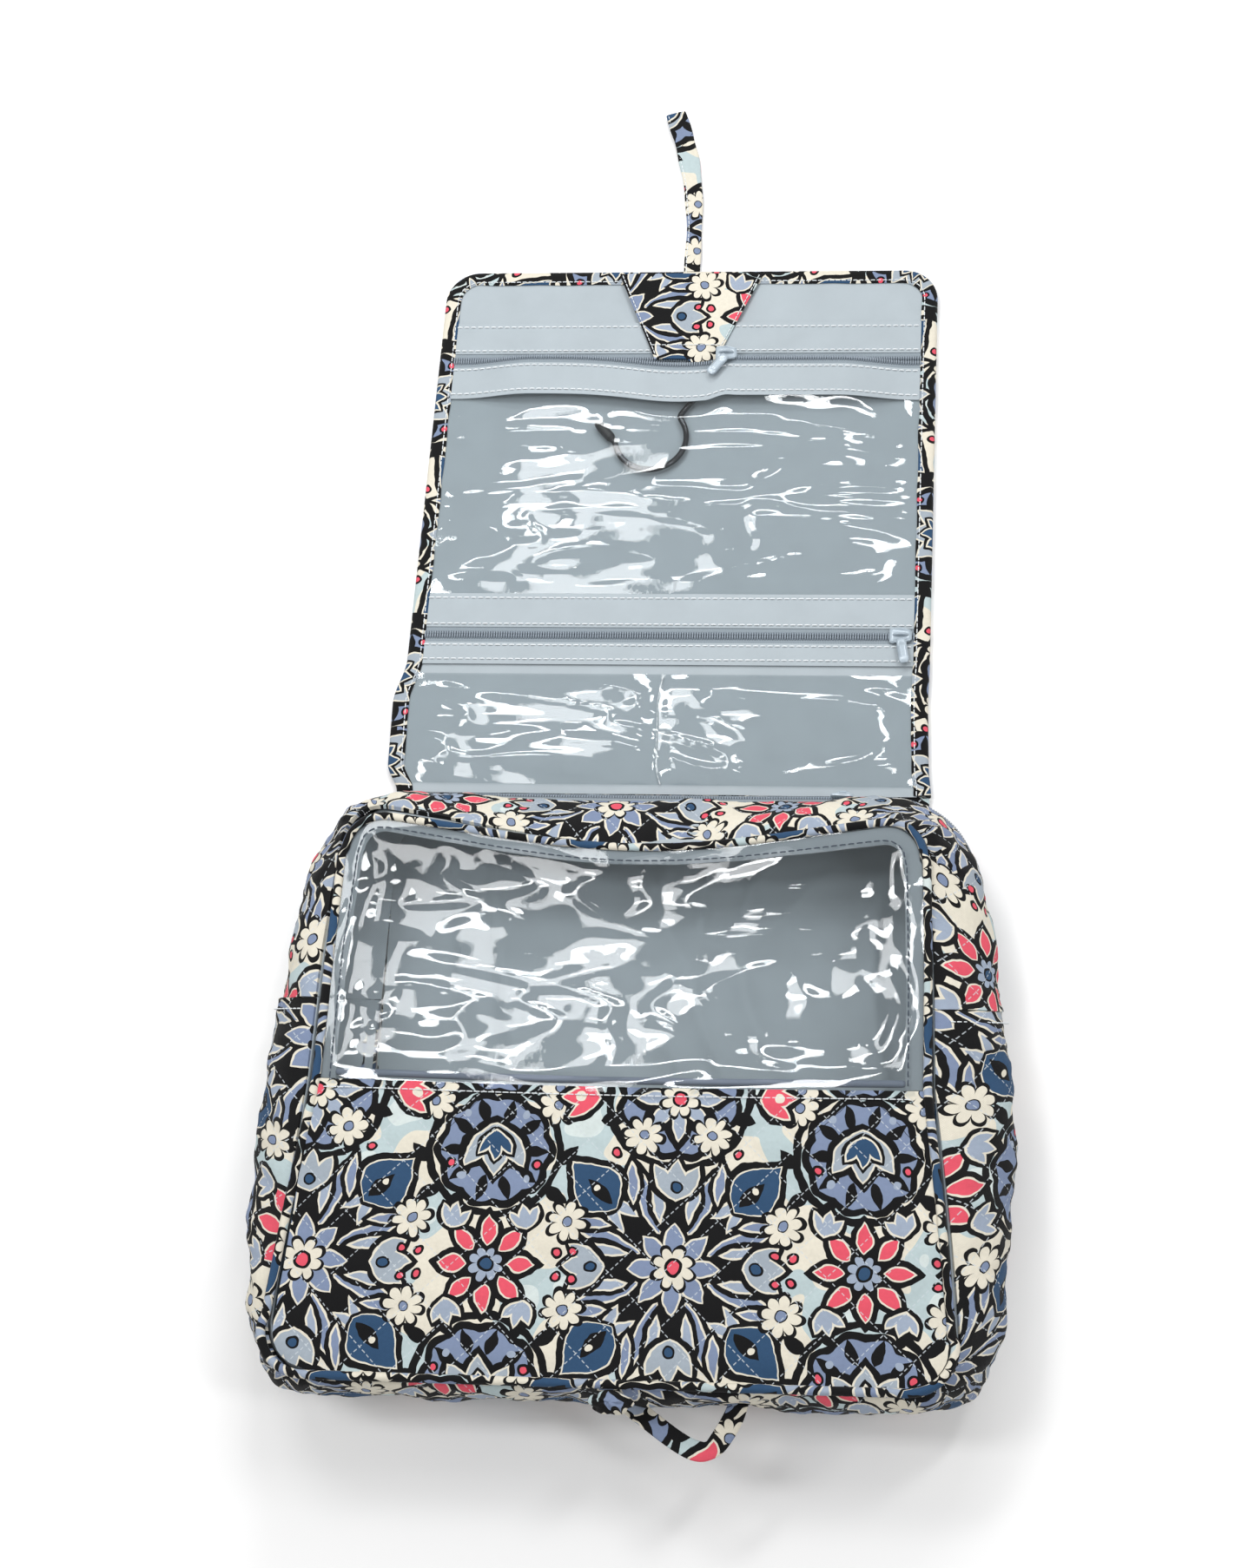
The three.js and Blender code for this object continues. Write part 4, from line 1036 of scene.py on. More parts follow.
CROWDING = 0.46 * math.pi


def window_rows(inset, step):
    """Grid of (x, y) that fills the window."""
    top = FRONT["top"] - inset
    r_top = FRONT["corner_top"] - inset
    near = top - r_top * (1 - np.cos(np.linspace(math.pi / 2, 0, 10)))
    rows = np.linspace(WINDOW_BOTTOM - 2.5, top - r_top, int((top - r_top - WINDOW_BOTTOM) / step))
    rows = np.concatenate([rows[:-1], near])
    width = window_half(inset)(rows)
    # columns lie closer near the window's sides
    across = np.sin(np.linspace(-CROWDING, CROWDING, int(2 * width.max() / step))) / math.sin(CROWDING)
    x = across[:, None] * width[None, :]
    return x, np.broadcast_to(rows, x.shape).copy()


def film_waves(x, y, seed):
    """Undulations of a slack clear film: broad swells and a few long sharp creases."""
    warp = x + 14 * swell(x, y, seed + 7, 90, 1)
    broad = swell(warp * 0.8, y * 1.3, seed, 74, 2, 2.0)
    fine = swell(warp * 0.8, y * 1.6, seed + 3, 25, 2, 2.2)
    streak = creases(warp * 0.5, y * 1.15, seed + 5, 34)
    return 1.6 * broad + 0.32 * fine + 1.2 * streak


x, y = window_rows(FRONT_INSET - 0.8, 1.7)
edges = (
    (window_half(FRONT_INSET - 0.8)(y) - np.abs(x), 46),
    (FRONT["top"] - FRONT_INSET - y, 40),
    (y - WINDOW_BOTTOM, 34),
)
bowl = math.prod(dome(distance / reach) for distance, reach in edges)
from_edge = np.min([np.clip(distance, 0, reach) for distance, reach in edges], axis=0)
ripple = np.sin(2 * math.pi * (from_edge + 6 * swell(x, y, 57, 80, 2)) / 15) * np.exp(-from_edge / 30)
lift = 0.5 - 6.5 * bowl + film_waves(x, y, 51) * (0.12 + 0.88 * bowl) + 0.5 * ripple * smooth(from_edge, 0, 9)
P = on_front(x, y, lift)
window = add_piece("window_film_sheet", *skin(P, pair(x, y), 0.45), FILM, ("box", "lid"),
                   ["window_film", "window_film_foot"], "clear_film", FOLD_BEND)


def window_edge(inset):
    """The line of the window's edge at an inset: up the left side, over the top, down the right."""
    top = FRONT["top"] - inset
    r_top = max(2.0, FRONT["corner_top"] - inset)
    xt = front_half(top) - inset - r_top
    right = [(v, top) for v in np.linspace(0, xt, 50)[:-1]]
    right += arc(xt, top - r_top, r_top, math.pi / 2, 0, 14)
    right += [(front_half(v) - inset, v) for v in np.linspace(top - r_top, WINDOW_BOTTOM + 0.5, 70)[1:]]
    right = np.array(right)
    return np.concatenate([(right * [-1, 1])[::-1], right[1:]])


outer_line = window_edge(FRONT_INSET - 0.5)
inner_line = window_edge(FRONT_INSET + 7.2)
share = np.linspace(0, 1, 6)[None, :, None]
grid = outer_line[:, None] * (1 - share) + inner_line[:, None] * share
x, y = grid[..., 0], grid[..., 1]
run = arc_length(outer_line)
rough = swell(run, 0 * run, 61, 26, 2)[:, None]
z_lift = -0.5 - 1.0 * share[..., 0] + 0.7 * rough * share[..., 0]
P = on_front(x, y, z_lift)
uv = np.stack([np.repeat(run[:, None], 6, 1), np.repeat(share[..., 0] * 10, len(run), 0)], -1)
add_piece("window_binding_strip", *skin(P, uv, 0.8, True), GREY_BINDING, ("box", "lid"),
          ["window_binding", "window_binding_foot_left", "window_binding_foot_right"], "lining", FOLD_BEND)
line = window_edge(FRONT_INSET + 5.8)
add_piece("window_binding_stitches", *stitches(on_front(line[:, 0], line[:, 1], 0.6), 4.0, 0.55, 0.36, 0.1),
          THREAD_DARK, ("box", "lid"), bend=FOLD_BEND)
edge_x = np.linspace(-front_half(WINDOW_BOTTOM) + 13, front_half(WINDOW_BOTTOM) - 13, 90)
line = on_front(edge_x, np.full(90, WINDOW_BOTTOM + 3.4), -2.0 + 0.2 * np.sin(edge_x / 9))
add_piece("window_edging_roll", *tube(line, 1.7, 10, 0.7), GREY_EDGE, "box",
          ["window_lower_edging"], "lining")

# piping around the front, one cord across the lid's fold
inset = PIPING - 0.2
loop = rounded_path(lambda y: front_half(y) - inset, FRONT["top"] - inset, FRONT["bottom"] + inset,
                    FRONT["corner_top"] - inset, FRONT["corner_bottom"] - inset)
path = on_front(loop[:, 0], loop[:, 1], 0.4)
left = path[::-1].copy()
left[:, 0] *= -1
path = resample(np.concatenate([left, path[1:]]), 2.0)
add_piece("front_piping_cord", *tube(path, 1.95, 12, 1.0, (40, -205), 0.03), TRIM, ("box", "lid"),
          ["front_piping_lid", "front_piping_base"], "print_trim", FOLD_BEND)

# side seams of the gusset: light stitches beside the seam
for name, station in (("right", SEAM_STATION + 0.12), ("left", 2 * HALF_STATIONS - SEAM_STATION - 0.12)):
    s = np.full((40, 3), station) + np.array([[-0.05, 0, 0.05]])
    r = np.repeat(np.linspace(0.3, 0.94, 40)[:, None], 3, 1)
    grid = wall(s, r)
    n = np.cross(np.gradient(grid, axis=0), np.gradient(grid, axis=1))[:, 1]
    n *= np.sign((n @ np.array([1 if name == "right" else -1, 0, 0]))[:, None])
    n /= np.linalg.norm(n, axis=1, keepdims=True)
    line = grid[:, 1] + n * 1.3
    add_piece(f"side_seam_stitches_{name}", *stitches(line, 3.0, 0.6, 0.3, 0), THREAD_PALE, "box")

# ---- flap -------------------------------------------------------------------------------------------------
LOW_BEND = (FOLD_LOWER_Y - 3, FOLD_LOWER_Y + 3, 4)
HIGH_BEND = (FOLD_UPPER_Y - 4.5, FOLD_UPPER_Y + 4.5, 4)
FLAP_INNER = FLAP_HALF - FLAP_BINDING
SHELL_INSET = FLAP_BINDING - 4  # shell and lining run a little way into the folded binding
COVER_INSET = FLAP_BINDING - 1


def flap_half(inset):
    """Half-width of the flap at an inset from its edge."""
    radius = FLAP_CORNER - inset
    return lambda y: FLAP_HALF - inset - round_end(y - (FLAP_TOP - FLAP_CORNER), radius)


def flap_grid(y0, y1, half, step, radius):
    """Grid of (x, y) that fills a stretch of the flap, with closer rows where its corners turn."""
    rows = np.linspace(y0, y1, int((y1 - y0) / step) + 1)
    if radius:
        near = y1 - radius * (1 - np.sin(np.linspace(0, math.pi / 2, 10)))
        rows = np.concatenate([rows[rows < near[0] - 0.5], near])
    width = half(rows)
    across = np.linspace(-1, 1, int(2 * width.max() / step))
    x = across[:, None] * width[None, :]
    return x, np.broadcast_to(rows, x.shape).copy()


# each part spans one fold: (part, node, the two bodies, the bend)
FLAP_PARTS = (
    ("low", "flap_lower", ("box", "flap_lower"), LOW_BEND),
    ("high", "flap_upper", ("flap_lower", "flap_upper"), HIGH_BEND),
)
for part, node, bodies, bend in FLAP_PARTS:
    high = part == "high"
    y0, y1 = (FLAP_JOIN_Y, FLAP_TOP - SHELL_INSET) if high else (BACK_TOP + 0.05, FLAP_JOIN_Y)
    x, y = flap_grid(y0, y1, flap_half(SHELL_INSET), 2.3, (FLAP_CORNER - SHELL_INSET) * high)
    groove = 1.2 - puff(x + 20, y, 1.2)
    P = np.stack([x, y, 0.05 + groove], -1)
    verts, faces, uvs = skin(P, pair(x + 20, y), groove - SHELL)
    shell = add_piece(f"flap_quilted_{part}", verts, faces[:, ::-1], uvs, QUILTED, bodies,
                      [f"{node}_shell"], "quilted_print", bend)

for part, node, bodies, bend in FLAP_PARTS:
    high = part == "high"
    y0, y1 = (FLAP_JOIN_Y, FLAP_TOP - COVER_INSET) if high else (BACK_TOP, FLAP_JOIN_Y)
    x, y = flap_grid(y0, y1, flap_half(COVER_INSET), 2.6, (FLAP_CORNER - COVER_INSET) * high)
    edge = (1 - smooth(np.abs(x), 105, 122)) * (1 - smooth(y, 285, 298))
    zip_clear = smooth(np.abs(y - ZIP_UPPER_Y), 18, 30) * smooth(np.abs(y - ZIP_LOWER_Y), 18, 26)
    P = np.stack([x, y, 3.95 + edge * 0.5 * (swell(x, y, 71, 70, 3) - 0.3) * zip_clear], -1)
    lining = add_piece(f"flap_lining_{part}", *skin(P, pair(x, y), 0.6), GREY, bodies,
                       [f"{node}_lining"], "lining", bend)
    (y1 - y0) * MM


def binding(points, normals, shift):
    """The printed binding around the flap: a soft band folded over the edge."""
    profile = np.array([
        (8.2, 4.1), (8.4, 4.55), (7.9, 4.95), (6.0, 5.15), (4.0, 5.2), (2.2, 5.1),
        (1.0, 4.7), (0.25, 3.9), (0.0, 2.9), (0.15, 1.6), (0.7, 0.7), (1.8, 0.25),
        (4.0, 0.1), (6.5, 0.12), (7.6, 0.3), (7.8, 1.2), (7.9, 3.0),
    ])
    run = arc_length(points)
    around = arc_length(profile)
    wave = 1 + 0.03 * swell(run, 0 * run, 81, 30, 2)
    verts, uvs = [], []
    for p, n, w, u in zip(points, normals, wave, run):
        reach = profile[:, 0] * w
        verts.append(np.column_stack([p[0] - n[0] * reach, p[1] - n[1] * reach, profile[:, 1]]))
        uvs.append(np.column_stack([np.full(len(profile), u + shift[0]), around + shift[1]]))
    return close_rings(verts, uvs)


BINDING_SEAM = 6.9
r = FLAP_CORNER
edge = [((FLAP_HALF, v), (1, 0)) for v in np.linspace(FLAP_JOIN_Y, FLAP_TOP - r, 110)[:-1]]
corner = arc(FLAP_HALF - r, FLAP_TOP - r, r, 0, math.pi / 2, 16)[:-1]
edge += list(zip(corner, arc(0, 0, 1, 0, math.pi / 2, 16)[:-1]))
edge += [((v, FLAP_TOP), (0, 1)) for v in np.linspace(FLAP_HALF - r, 0, 50)]
edge += [((-p[0], p[1]), (-n[0], n[1])) for p, n in edge[-2::-1]]
points, normals = np.array([p for p, n in edge]), np.array([n for p, n in edge])
add_piece("flap_binding_high", *binding(points, normals, (0, -186)), TRIM, ("flap_lower", "flap_upper"),
          ["flap_upper_binding"], "print_trim", HIGH_BEND)
inner = points - normals * BINDING_SEAM
rows = np.column_stack([inner, np.full(len(inner), 5.1)])
add_piece("flap_binding_stitches_high", *stitches(rows, 3.1, 0.62, 0.26, 0.05), THREAD_PALE,
          ("flap_lower", "flap_upper"), bend=HIGH_BEND)
parts, threads = [], []
for sign in (1, -1):
    ys = np.linspace(BACK_TOP + 0.5, FLAP_JOIN_Y, 24)
    ys = ys if sign > 0 else ys[::-1]
    points = np.column_stack([np.full(24, sign * FLAP_HALF), ys])
    parts.append(binding(points, np.tile([sign, 0], (24, 1)), (-60 if sign > 0 else 90, -186)))
    line = np.column_stack([points[:, 0] - sign * BINDING_SEAM, ys, np.full(24, 5.1)])
    threads.append(stitches(line, 3.1, 0.62, 0.26, 0.05))
add_piece("flap_binding_low", *merge(parts), TRIM, ("box", "flap_lower"),
          ["flap_lower_binding_left", "flap_lower_binding_right"], "print_trim", LOW_BEND)
add_piece("flap_binding_stitches_low", *merge(threads), THREAD_PALE, ("box", "flap_lower"), bend=LOW_BEND)

# ---- flap: zips and pockets -------------------------------------------------------------------------------
ZIP_HALF = FLAP_INNER - 0.4


def rise_across(x):
    return 1 - smooth(np.abs(x), 80, 119)


def pocket_floor(x, y):
    return ON_LINING + POCKET_RISE * rise_across(x) * smooth(y, 122, 166)


def flat_floor(x, y):
    return ON_LINING + 0 * x


def zip_row(y0, y1, floor, lift, bow, fluff):
    """A grid for a band or a tape: fluff is how far its middle stands up."""
    x, y = np.meshgrid(np.linspace(-ZIP_HALF, ZIP_HALF, 130), np.linspace(y0, y1, 8), indexing="ij")
    stand = fluff * np.sin(np.linspace(0, math.pi, 8)) * (1 + 0.5 * swell(x, y, 90, 24, 2))
    z = floor(x, y) + lift + stand
    y = y + bow(x)
    return np.stack([x, y, z], -1), pair(x, y)


def open_part(x):
    """Left of its slider the upper zip gapes, and its lower side hangs down."""
    return -5.2 * np.exp(-(((x + 2) / 34) ** 2)) * (1 - smooth(x, 12, 24)) - 1.2 * smooth(x, 12, 30)


def no_bow(x):
    return 0 * x


def build_zip(name, line, floor, low_floor, bow, body):
    coil_up, coil_low = line + 0.2, line - 0.2
    tape_up, tape_low = coil_up + COIL, coil_low - COIL
    band_up, band_low = tape_up + TAPE_WIDTH - 2.0, tape_low - TAPE_WIDTH + 2.0
    up_end = tape_up + TAPE_WIDTH + 0.6 + BAND_WIDTH
    low_end = max(tape_low - TAPE_WIDTH - 0.6 - BAND_WIDTH, FOLD_UPPER_Y + 3.4)
    pieces = (
        ("band_upper", band_up, up_end, floor, 0.85, 0.5, no_bow, GREY, "lining", 0.35),
        ("tape_upper", coil_up + 0.3, band_up + 2, floor, 0.35, 0.4, no_bow, TAPE, "zip_tape", 0),
        ("tape_lower", band_low - 2, coil_low - 0.3, low_floor, 0.35, 0.4, bow, TAPE, "zip_tape", 0),
        ("band_lower", low_end, band_low, low_floor, 0.85, 0.5, bow, GREY, "lining", 0.35),
    )
    for part, y0, y1, base, lift, thick, arch, look, slot, fluff in pieces:
        P, uv = zip_row(y0, y1, base, lift, arch, fluff)
        add_piece(f"{name}_{part}_cloth", *skin(P, uv, thick), look, body, [f"{name}_{part}"], slot)
    x = np.linspace(-ZIP_HALF, ZIP_HALF, 160)

    def row(y0, base, arch, lift):
        return np.column_stack([x, y0 + arch(x), base(x, np.full(160, y0)) + lift])

    up = np.tile([0, 0, 1.0], (160, 1))
    out = np.tile([0, 1.0, 0], (160, 1))
    for part, y0, base, arch in (
        ("upper", coil_up + 0.55, floor, no_bow),
        ("lower", coil_low - 0.55, low_floor, bow),
    ):
        coil = teeth(row(y0, base, arch, 0.5), up, out)
        add_piece(f"{name}_teeth_{part}", *coil, COIL_GREY, body, [f"{name}_coil_{part}"], "zip_coil")
    threads = [stitches(row(*place, 1.15), 3.6, 0.6, 0.38, 0.05) for place in (
        (band_up + 1.6, floor, no_bow), (up_end - 2.6, floor, no_bow),
        (band_low - 1.6, low_floor, bow), (low_end + 2.6, low_floor, bow),
    )]
    add_piece(f"{name}_stitches", *merge(threads), THREAD_PALE, body)
    return up_end, low_end


_, upper_low_end = build_zip("zip_upper", ZIP_UPPER_Y, flat_floor, pocket_floor, open_part, "flap_upper")
lower_up_end, _ = build_zip("zip_lower", ZIP_LOWER_Y, flat_floor, flat_floor, no_bow, "flap_upper")


def film_grid(y0, y1, step=1.7):
    x = np.linspace(-ZIP_HALF, ZIP_HALF, int(2 * ZIP_HALF / step))
    y = np.linspace(y0, y1, int((y1 - y0) / step))
    return np.meshgrid(x, y, indexing="ij")


x, y = film_grid(lower_up_end - 1, upper_low_end + 1.5)
share = (y - y.min()) / (y.max() - y.min())
edge = dome((ZIP_HALF - np.abs(x)) / 22) * dome(np.minimum(share, 1 - share) * 7)
over_hook = np.exp(-(((x + 14) / 34) ** 2) - ((y - 206) / 26) ** 2)
waves = film_waves(x * 0.9, y * 1.25, 103)
lift = 0.6 + edge * (1.0 + np.maximum(-0.9, waves) * (1 - 0.85 * over_hook) + 1.6 * over_hook)
P = np.stack([x, y + open_part(x) * smooth(share, 0.75, 1), pocket_floor(x, y) + lift], -1)
pocket = add_piece("pocket_upper_sheet", *skin(P, pair(x, y), 0.4), FILM, "flap_upper",
                   ["pocket_film_upper"], "clear_film")

x, y = film_grid(FOLD_LOWER_Y + 1.6, FOLD_UPPER_Y - 1.6)
edge = dome((y - y.min()) / 13) * dome((y.max() - y) / 13) * dome((ZIP_HALF - np.abs(x)) / 18)
seam = 1 - 0.6 * np.exp(-((x / 5) ** 2))
lift = 0.5 + edge * seam * (2.6 + np.maximum(-1.8, 1.25 * film_waves(x * 0.8, y * 1.35, 131)))
P = np.stack([x, y, ON_LINING + lift], -1)
pocket = add_piece("pocket_lower_sheet", *skin(P, pair(x, y), 0.4), FILM, "flap_lower",
                   ["pocket_film_lower"], "clear_film")
ys = np.linspace(FOLD_LOWER_Y + 2, FOLD_UPPER_Y - 2, 30)
line = np.column_stack([0 * ys, ys, np.full(30, ON_LINING + 0.65)])
add_piece("pocket_divider_stitches", *stitches(line, 2.8, 0.7, 0.26), THREAD_PALE, "flap_lower")


# ---- sliders and pulls ------------------------------------------------------------------------------------
def plate(length, width, high, taper=0.0, sunken=False):
    """A flat bar with rounded edges, along -Y from the origin, from z 0 up to high."""
    t = np.linspace(0, 1, 13)
    near = np.maximum(0, 0.16 - t) / 0.16
    far = np.maximum(0, t - 0.86) / 0.14
    half = width / 2 * np.sqrt((1 - 0.5 * near**2) * (1 - 0.6 * far**2)) * (1 + taper * (t - 0.5))
    c = np.linspace(-1, 1, 9)
    x = c[:, None] * half[None, :]
    y = np.repeat(-t[None, :] * length, 9, 0)
    crown = (1 - np.abs(c)[:, None] ** 4) * (1 - np.abs(2 * t - 1)[None, :] ** 8)
    top = high * (0.45 + 0.55 * crown)
    if sunken:  # in the middle, inside a raised rim
        sunk = (1 - smooth(np.abs(c), 0.5, 0.72))[:, None] * smooth(t, 0.2, 0.28) * (1 - smooth(t, 0.8, 0.88))
        top = top - 0.45 * high * sunk
    P = np.stack([x, y, top], -1)
    n = P.shape[0] * P.shape[1]
    v, f, uv = skin(P[:, ::-1], pair(x, y)[:, ::-1], 0.1)
    v[n:, :2] = v[:n, :2]
    v[n:, 2] = 0
    return v, f, uv


def turned(part, angle, at):
    """A part turned about Z and then moved."""
    v, f, uv = part
    c, s = math.cos(angle), math.sin(angle)
    v = v.copy()
    x, y = v[:, 0].copy(), v[:, 1].copy()
    v[:, 0], v[:, 1] = c * x - s * y + at[0], s * x + c * y + at[1]
    v[:, 2] += at[2]
    return v, f, uv


def slider_part(at):
    """Body of a zip slider, wider where the coils part, with a bridge that carries the pull."""
    body = plate(11, 7.6, 1.5, -0.35)
    body = turned(body, math.pi / 2, (-5.5, 0, 0))
    arch = np.linspace(0, math.pi, 15)
    bridge = np.column_stack([3.0 * np.cos(arch), 0 * arch, 1.0 + 1.7 * np.sin(arch)])
    rail = [np.array([(-4.6, s * 3.3, 0.9), (0, s * 3.75, 0.9), (4.6, s * 2.5, 0.9)]) for s in (1, -1)]
    parts = [body, tube(bridge, 0.75, 10, 1.5)] + [tube(resample(r, 0.8), 0.5, 8) for r in rail]
    v, f, uv = merge(parts)
    return v + np.array(at), f, uv


UPPER_SLIDER = (21.5, ZIP_UPPER_Y, ON_LINING + POCKET_RISE + COIL + 0.3)
LOWER_SLIDER = (116, ZIP_LOWER_Y, ON_LINING + COIL + 0.3)
for name, at, length, slant, bodies in (
    ("zip_upper", UPPER_SLIDER, 13.4, -9, ("upper_slider", "upper_pull")),
    ("zip_lower", LOWER_SLIDER, 13.2, 2, ("lower_slider", "lower_pull")),
):
    add_piece(f"{name}_slider_body", *slider_part((at[0], at[1], at[2] - 0.15)), ENAMEL, bodies[0],
              [f"{name}_slider"], "zip_enamel")
    angle = math.atan2(slant, 12)
    tab = turned(plate(length, 5.0, 1.5, 0.06, True), angle, (at[0], at[1] - 2.6, at[2] + 2.6))
    add_piece(f"{name}_pull_tab", *tab, ENAMEL, bodies[1], [f"{name}_pull"], "zip_enamel")

MAIN_X, MAIN_Y = 92, 2.5
MAIN_Z = lerp(WALL_LOW, front_height(FRONT["top"]), ZIP_TOP)
v, f, uv = slider_part((0, 0, 0))
v = np.column_stack([v[:, 0] + MAIN_X, MAIN_Y - 1.4 + v[:, 2], MAIN_Z - v[:, 1]])
add_piece("main_slider_body", v, f, uv, ENAMEL, "main_slider", ["main_zip_slider"], "zip_enamel")
v, f, uv = plate(14, 4.8, 1.3, 0.06, True)
v = np.column_stack([v[:, 0] + MAIN_X, MAIN_Y + 1.4 + v[:, 2], MAIN_Z + 1 + v[:, 1]])
add_piece("main_pull_tab", v, f[:, ::-1], uv, ENAMEL, "main_pull", ["main_zip_pull"], "zip_enamel")

# ---- hook and its tab -------------------------------------------------------------------------------------
ys = np.linspace(251.5, 303.5, 34)
t = (303 - ys) / 50.5
half = lerp(38, 16.7, np.clip(t, 0, 1))
c = np.linspace(-1, 1, 40)
x = c[:, None] * half[None, :]
y = np.repeat(ys[None, :], 40, 0)
z = 7.5 + 0.25 * swell(x, y, 151, 30, 2) - 0.5 * np.abs(c[:, None]) ** 8
tab = skin(np.stack([x, y, z], -1), pair(x + 66, y - 205), 1.2)
ys = np.linspace(238.5, 252.5, 12)
mid = np.interp(ys, [238.5, 252.5], [PIVOT[0], 9])
wide = np.interp(ys, [238.5, 244, 252.5], [3.2, 5.0, 9.5])
x = mid[None, :] + np.linspace(-1, 1, 10)[:, None] * wide[None, :]
y = np.repeat(ys[None, :], 10, 0)
tongue = skin(np.stack([x, y, 7.4 + 0 * x], -1), pair(x + 66, y - 205), 1.2)
add_piece("hook_tab_cloth", *merge([tab, tongue]), TRIM, "hook_tab", ["hook_tab"], "print_trim")
threads = []
for side in (-1, 1):
    line = np.array([(side * 36.3, 302, 7.75), (side * 16.0, 253.5, 7.75)])
    threads.append(stitches(line, 2.8, 0.62, 0.24, 0))
threads.append(stitches(np.array([(-18.5, 259.5, 7.8), (18.5, 259.5, 7.8)]), 2.8, 0.66, 0.24, 0))
add_piece("hook_tab_stitches", *merge(threads), THREAD_PALE, "hook_tab")
rivet = [(0.2, 4.4), (1.75, 4.4), (1.8, 7.95), (3.0, 8.0), (3.2, 8.25), (3.0, 8.6), (2.2, 8.85), (0.2, 8.95)]
add_piece("hook_rivet_turned", *lathe(rivet, PIVOT), CHROME, "hook_tab", ["hook_rivet"], "dark_chrome")


def on_bend(turn):
    return HOOK_CENTRE + HOOK_BEND * np.array([math.cos(turn), math.sin(turn)])


bend0, bend1 = math.radians(42), math.radians(-172)
stem = on_bend(bend0) - PIVOT
stem /= np.linalg.norm(stem)
tip_way = np.array([-0.66, 0.75])
ring, section = np.meshgrid(np.arange(40) * math.pi / 20, np.arange(12) * math.pi / 6, indexing="ij")
reach = 3.2 + 1.1 * np.cos(section)
verts = np.stack([PIVOT[0] + reach * np.cos(ring), PIVOT[1] + reach * np.sin(ring),
                  5.15 + 0.75 * np.sin(section)], -1)
idx = np.arange(40 * 12).reshape(40, 12)
after = np.roll(idx, -1, 0)
faces = np.stack([idx, after, np.roll(after, -1, 1), np.roll(idx, -1, 1)], -1).reshape(-1, 4)
add_piece("hook_eye_ring", verts.reshape(-1, 3), faces, pair(ring * 3, section).reshape(-1, 2), CHROME,
          "hook", ["hook_eye"], "dark_chrome")


def at_z(p, z=HOOK_Z):
    return np.array([*p, z])


way = np.linspace(3.6, 14.2, 16)
collar = np.array([at_z(PIVOT + stem * d, lerp(5.6, HOOK_Z, min(1, (d - 3.6) / 4))) for d in way])
turned_at = [3.6, 5, 6, 6.6, 9.8, 10.2, 10.6, 13.6, 14.2]
radius = np.interp(way, turned_at, [1.3, 1.5, 1.7, 2.1, 2.1, 1.75, 2.1, 2.1, 1.6])
add_piece("hook_collar_turned", *tube(collar, radius, 20), CHROME, "hook", ["hook_collar"], "dark_chrome")
straight = [PIVOT + stem * d for d in np.linspace(14, 19, 6)]
bend = [on_bend(a) for a in np.linspace(bend0, bend1, 60)]
end = bend[-1] + tip_way * 3.2
raw = np.array([at_z(p) for p in [*straight, *bend, bend[-1] + tip_way * 1.5, end]])
fine = resample(raw, 1.0)
for _ in range(6):
    fine[1:-1] = (fine[:-2] + 2 * fine[1:-1] + fine[2:]) / 4
add_piece("hook_wire_bent", *tube(fine, HOOK_WIRE, 18), CHROME, "hook", ["hook_wire"], "dark_chrome")
way = np.linspace(-0.6, 10.6, 20)
tip = np.array([at_z(end + tip_way * d) for d in way])
radius = np.interp(way, [-0.6, 0.4, 1.2, 9, 10.6], [1.9, 2.45, 2.55, 2.55, 2.3])
add_piece("hook_tip_cap", *tube(tip, radius, 18), RUBBER, "hook", ["hook_tip"], "hook_rubber")

# ---- closure strap and bottom loop ------------------------------------------------------------------------
def spline(points, count):
    """A smooth curve through points."""
    p = np.asarray(points, float)
    fine = np.linspace(0, len(p) - 1, count)
    out = np.zeros((count, p.shape[1]))
    ext = np.concatenate([[2 * p[0] - p[1]], p, [2 * p[-1] - p[-2]]])
    for j, s in enumerate(fine):
        i = min(int(s), len(p) - 2)
        t = s - i
        a, b, c, d = ext[i:i + 4]
        square = (2 * a - 5 * b + 4 * c - d) * t**2
        cube = (3 * b - a - 3 * c + d) * t**3
        out[j] = 0.5 * (2 * b + (c - a) * t + square + cube)
    return out


def ribbon(path, half, thick, twist, uv_at):
    """A flat folded strap: a closed lens-shaped section swept along a path."""
    n = len(path)
    t = np.gradient(path, axis=0)
    t /= np.linalg.norm(t, axis=1, keepdims=True)
    side = np.cross(t, (0, 0, 1.0))
    side /= np.linalg.norm(side, axis=1, keepdims=True)
    up = np.cross(side, t)
    c, s = np.cos(twist)[:, None], np.sin(twist)[:, None]
    side, up = side * c + up * s, up * c - side * s
    run = arc_length(path)
    turn = np.linspace(0, 2 * math.pi, 19)[:-1]
    w = np.sign(np.cos(turn)) * np.abs(np.cos(turn)) ** 0.6
    h = np.sign(np.sin(turn)) * np.abs(np.sin(turn)) ** 0.7
    h = h * (1 + 0.25 * (np.cos(turn * 2) > 0.2) * (np.cos(turn) < 0))
    half = np.broadcast_to(half, (n,))
    verts, uvs = [], []
    for i in range(n):
        verts.append(path[i] + np.outer(w * half[i], side[i]) + np.outer(h * thick / 2, up[i]))
        uvs.append(np.stack([np.full(18, run[i] + uv_at[0]), w * half[i] + 12 * (h < 0) + uv_at[1]], 1))
    return close_rings(verts, uvs, True)


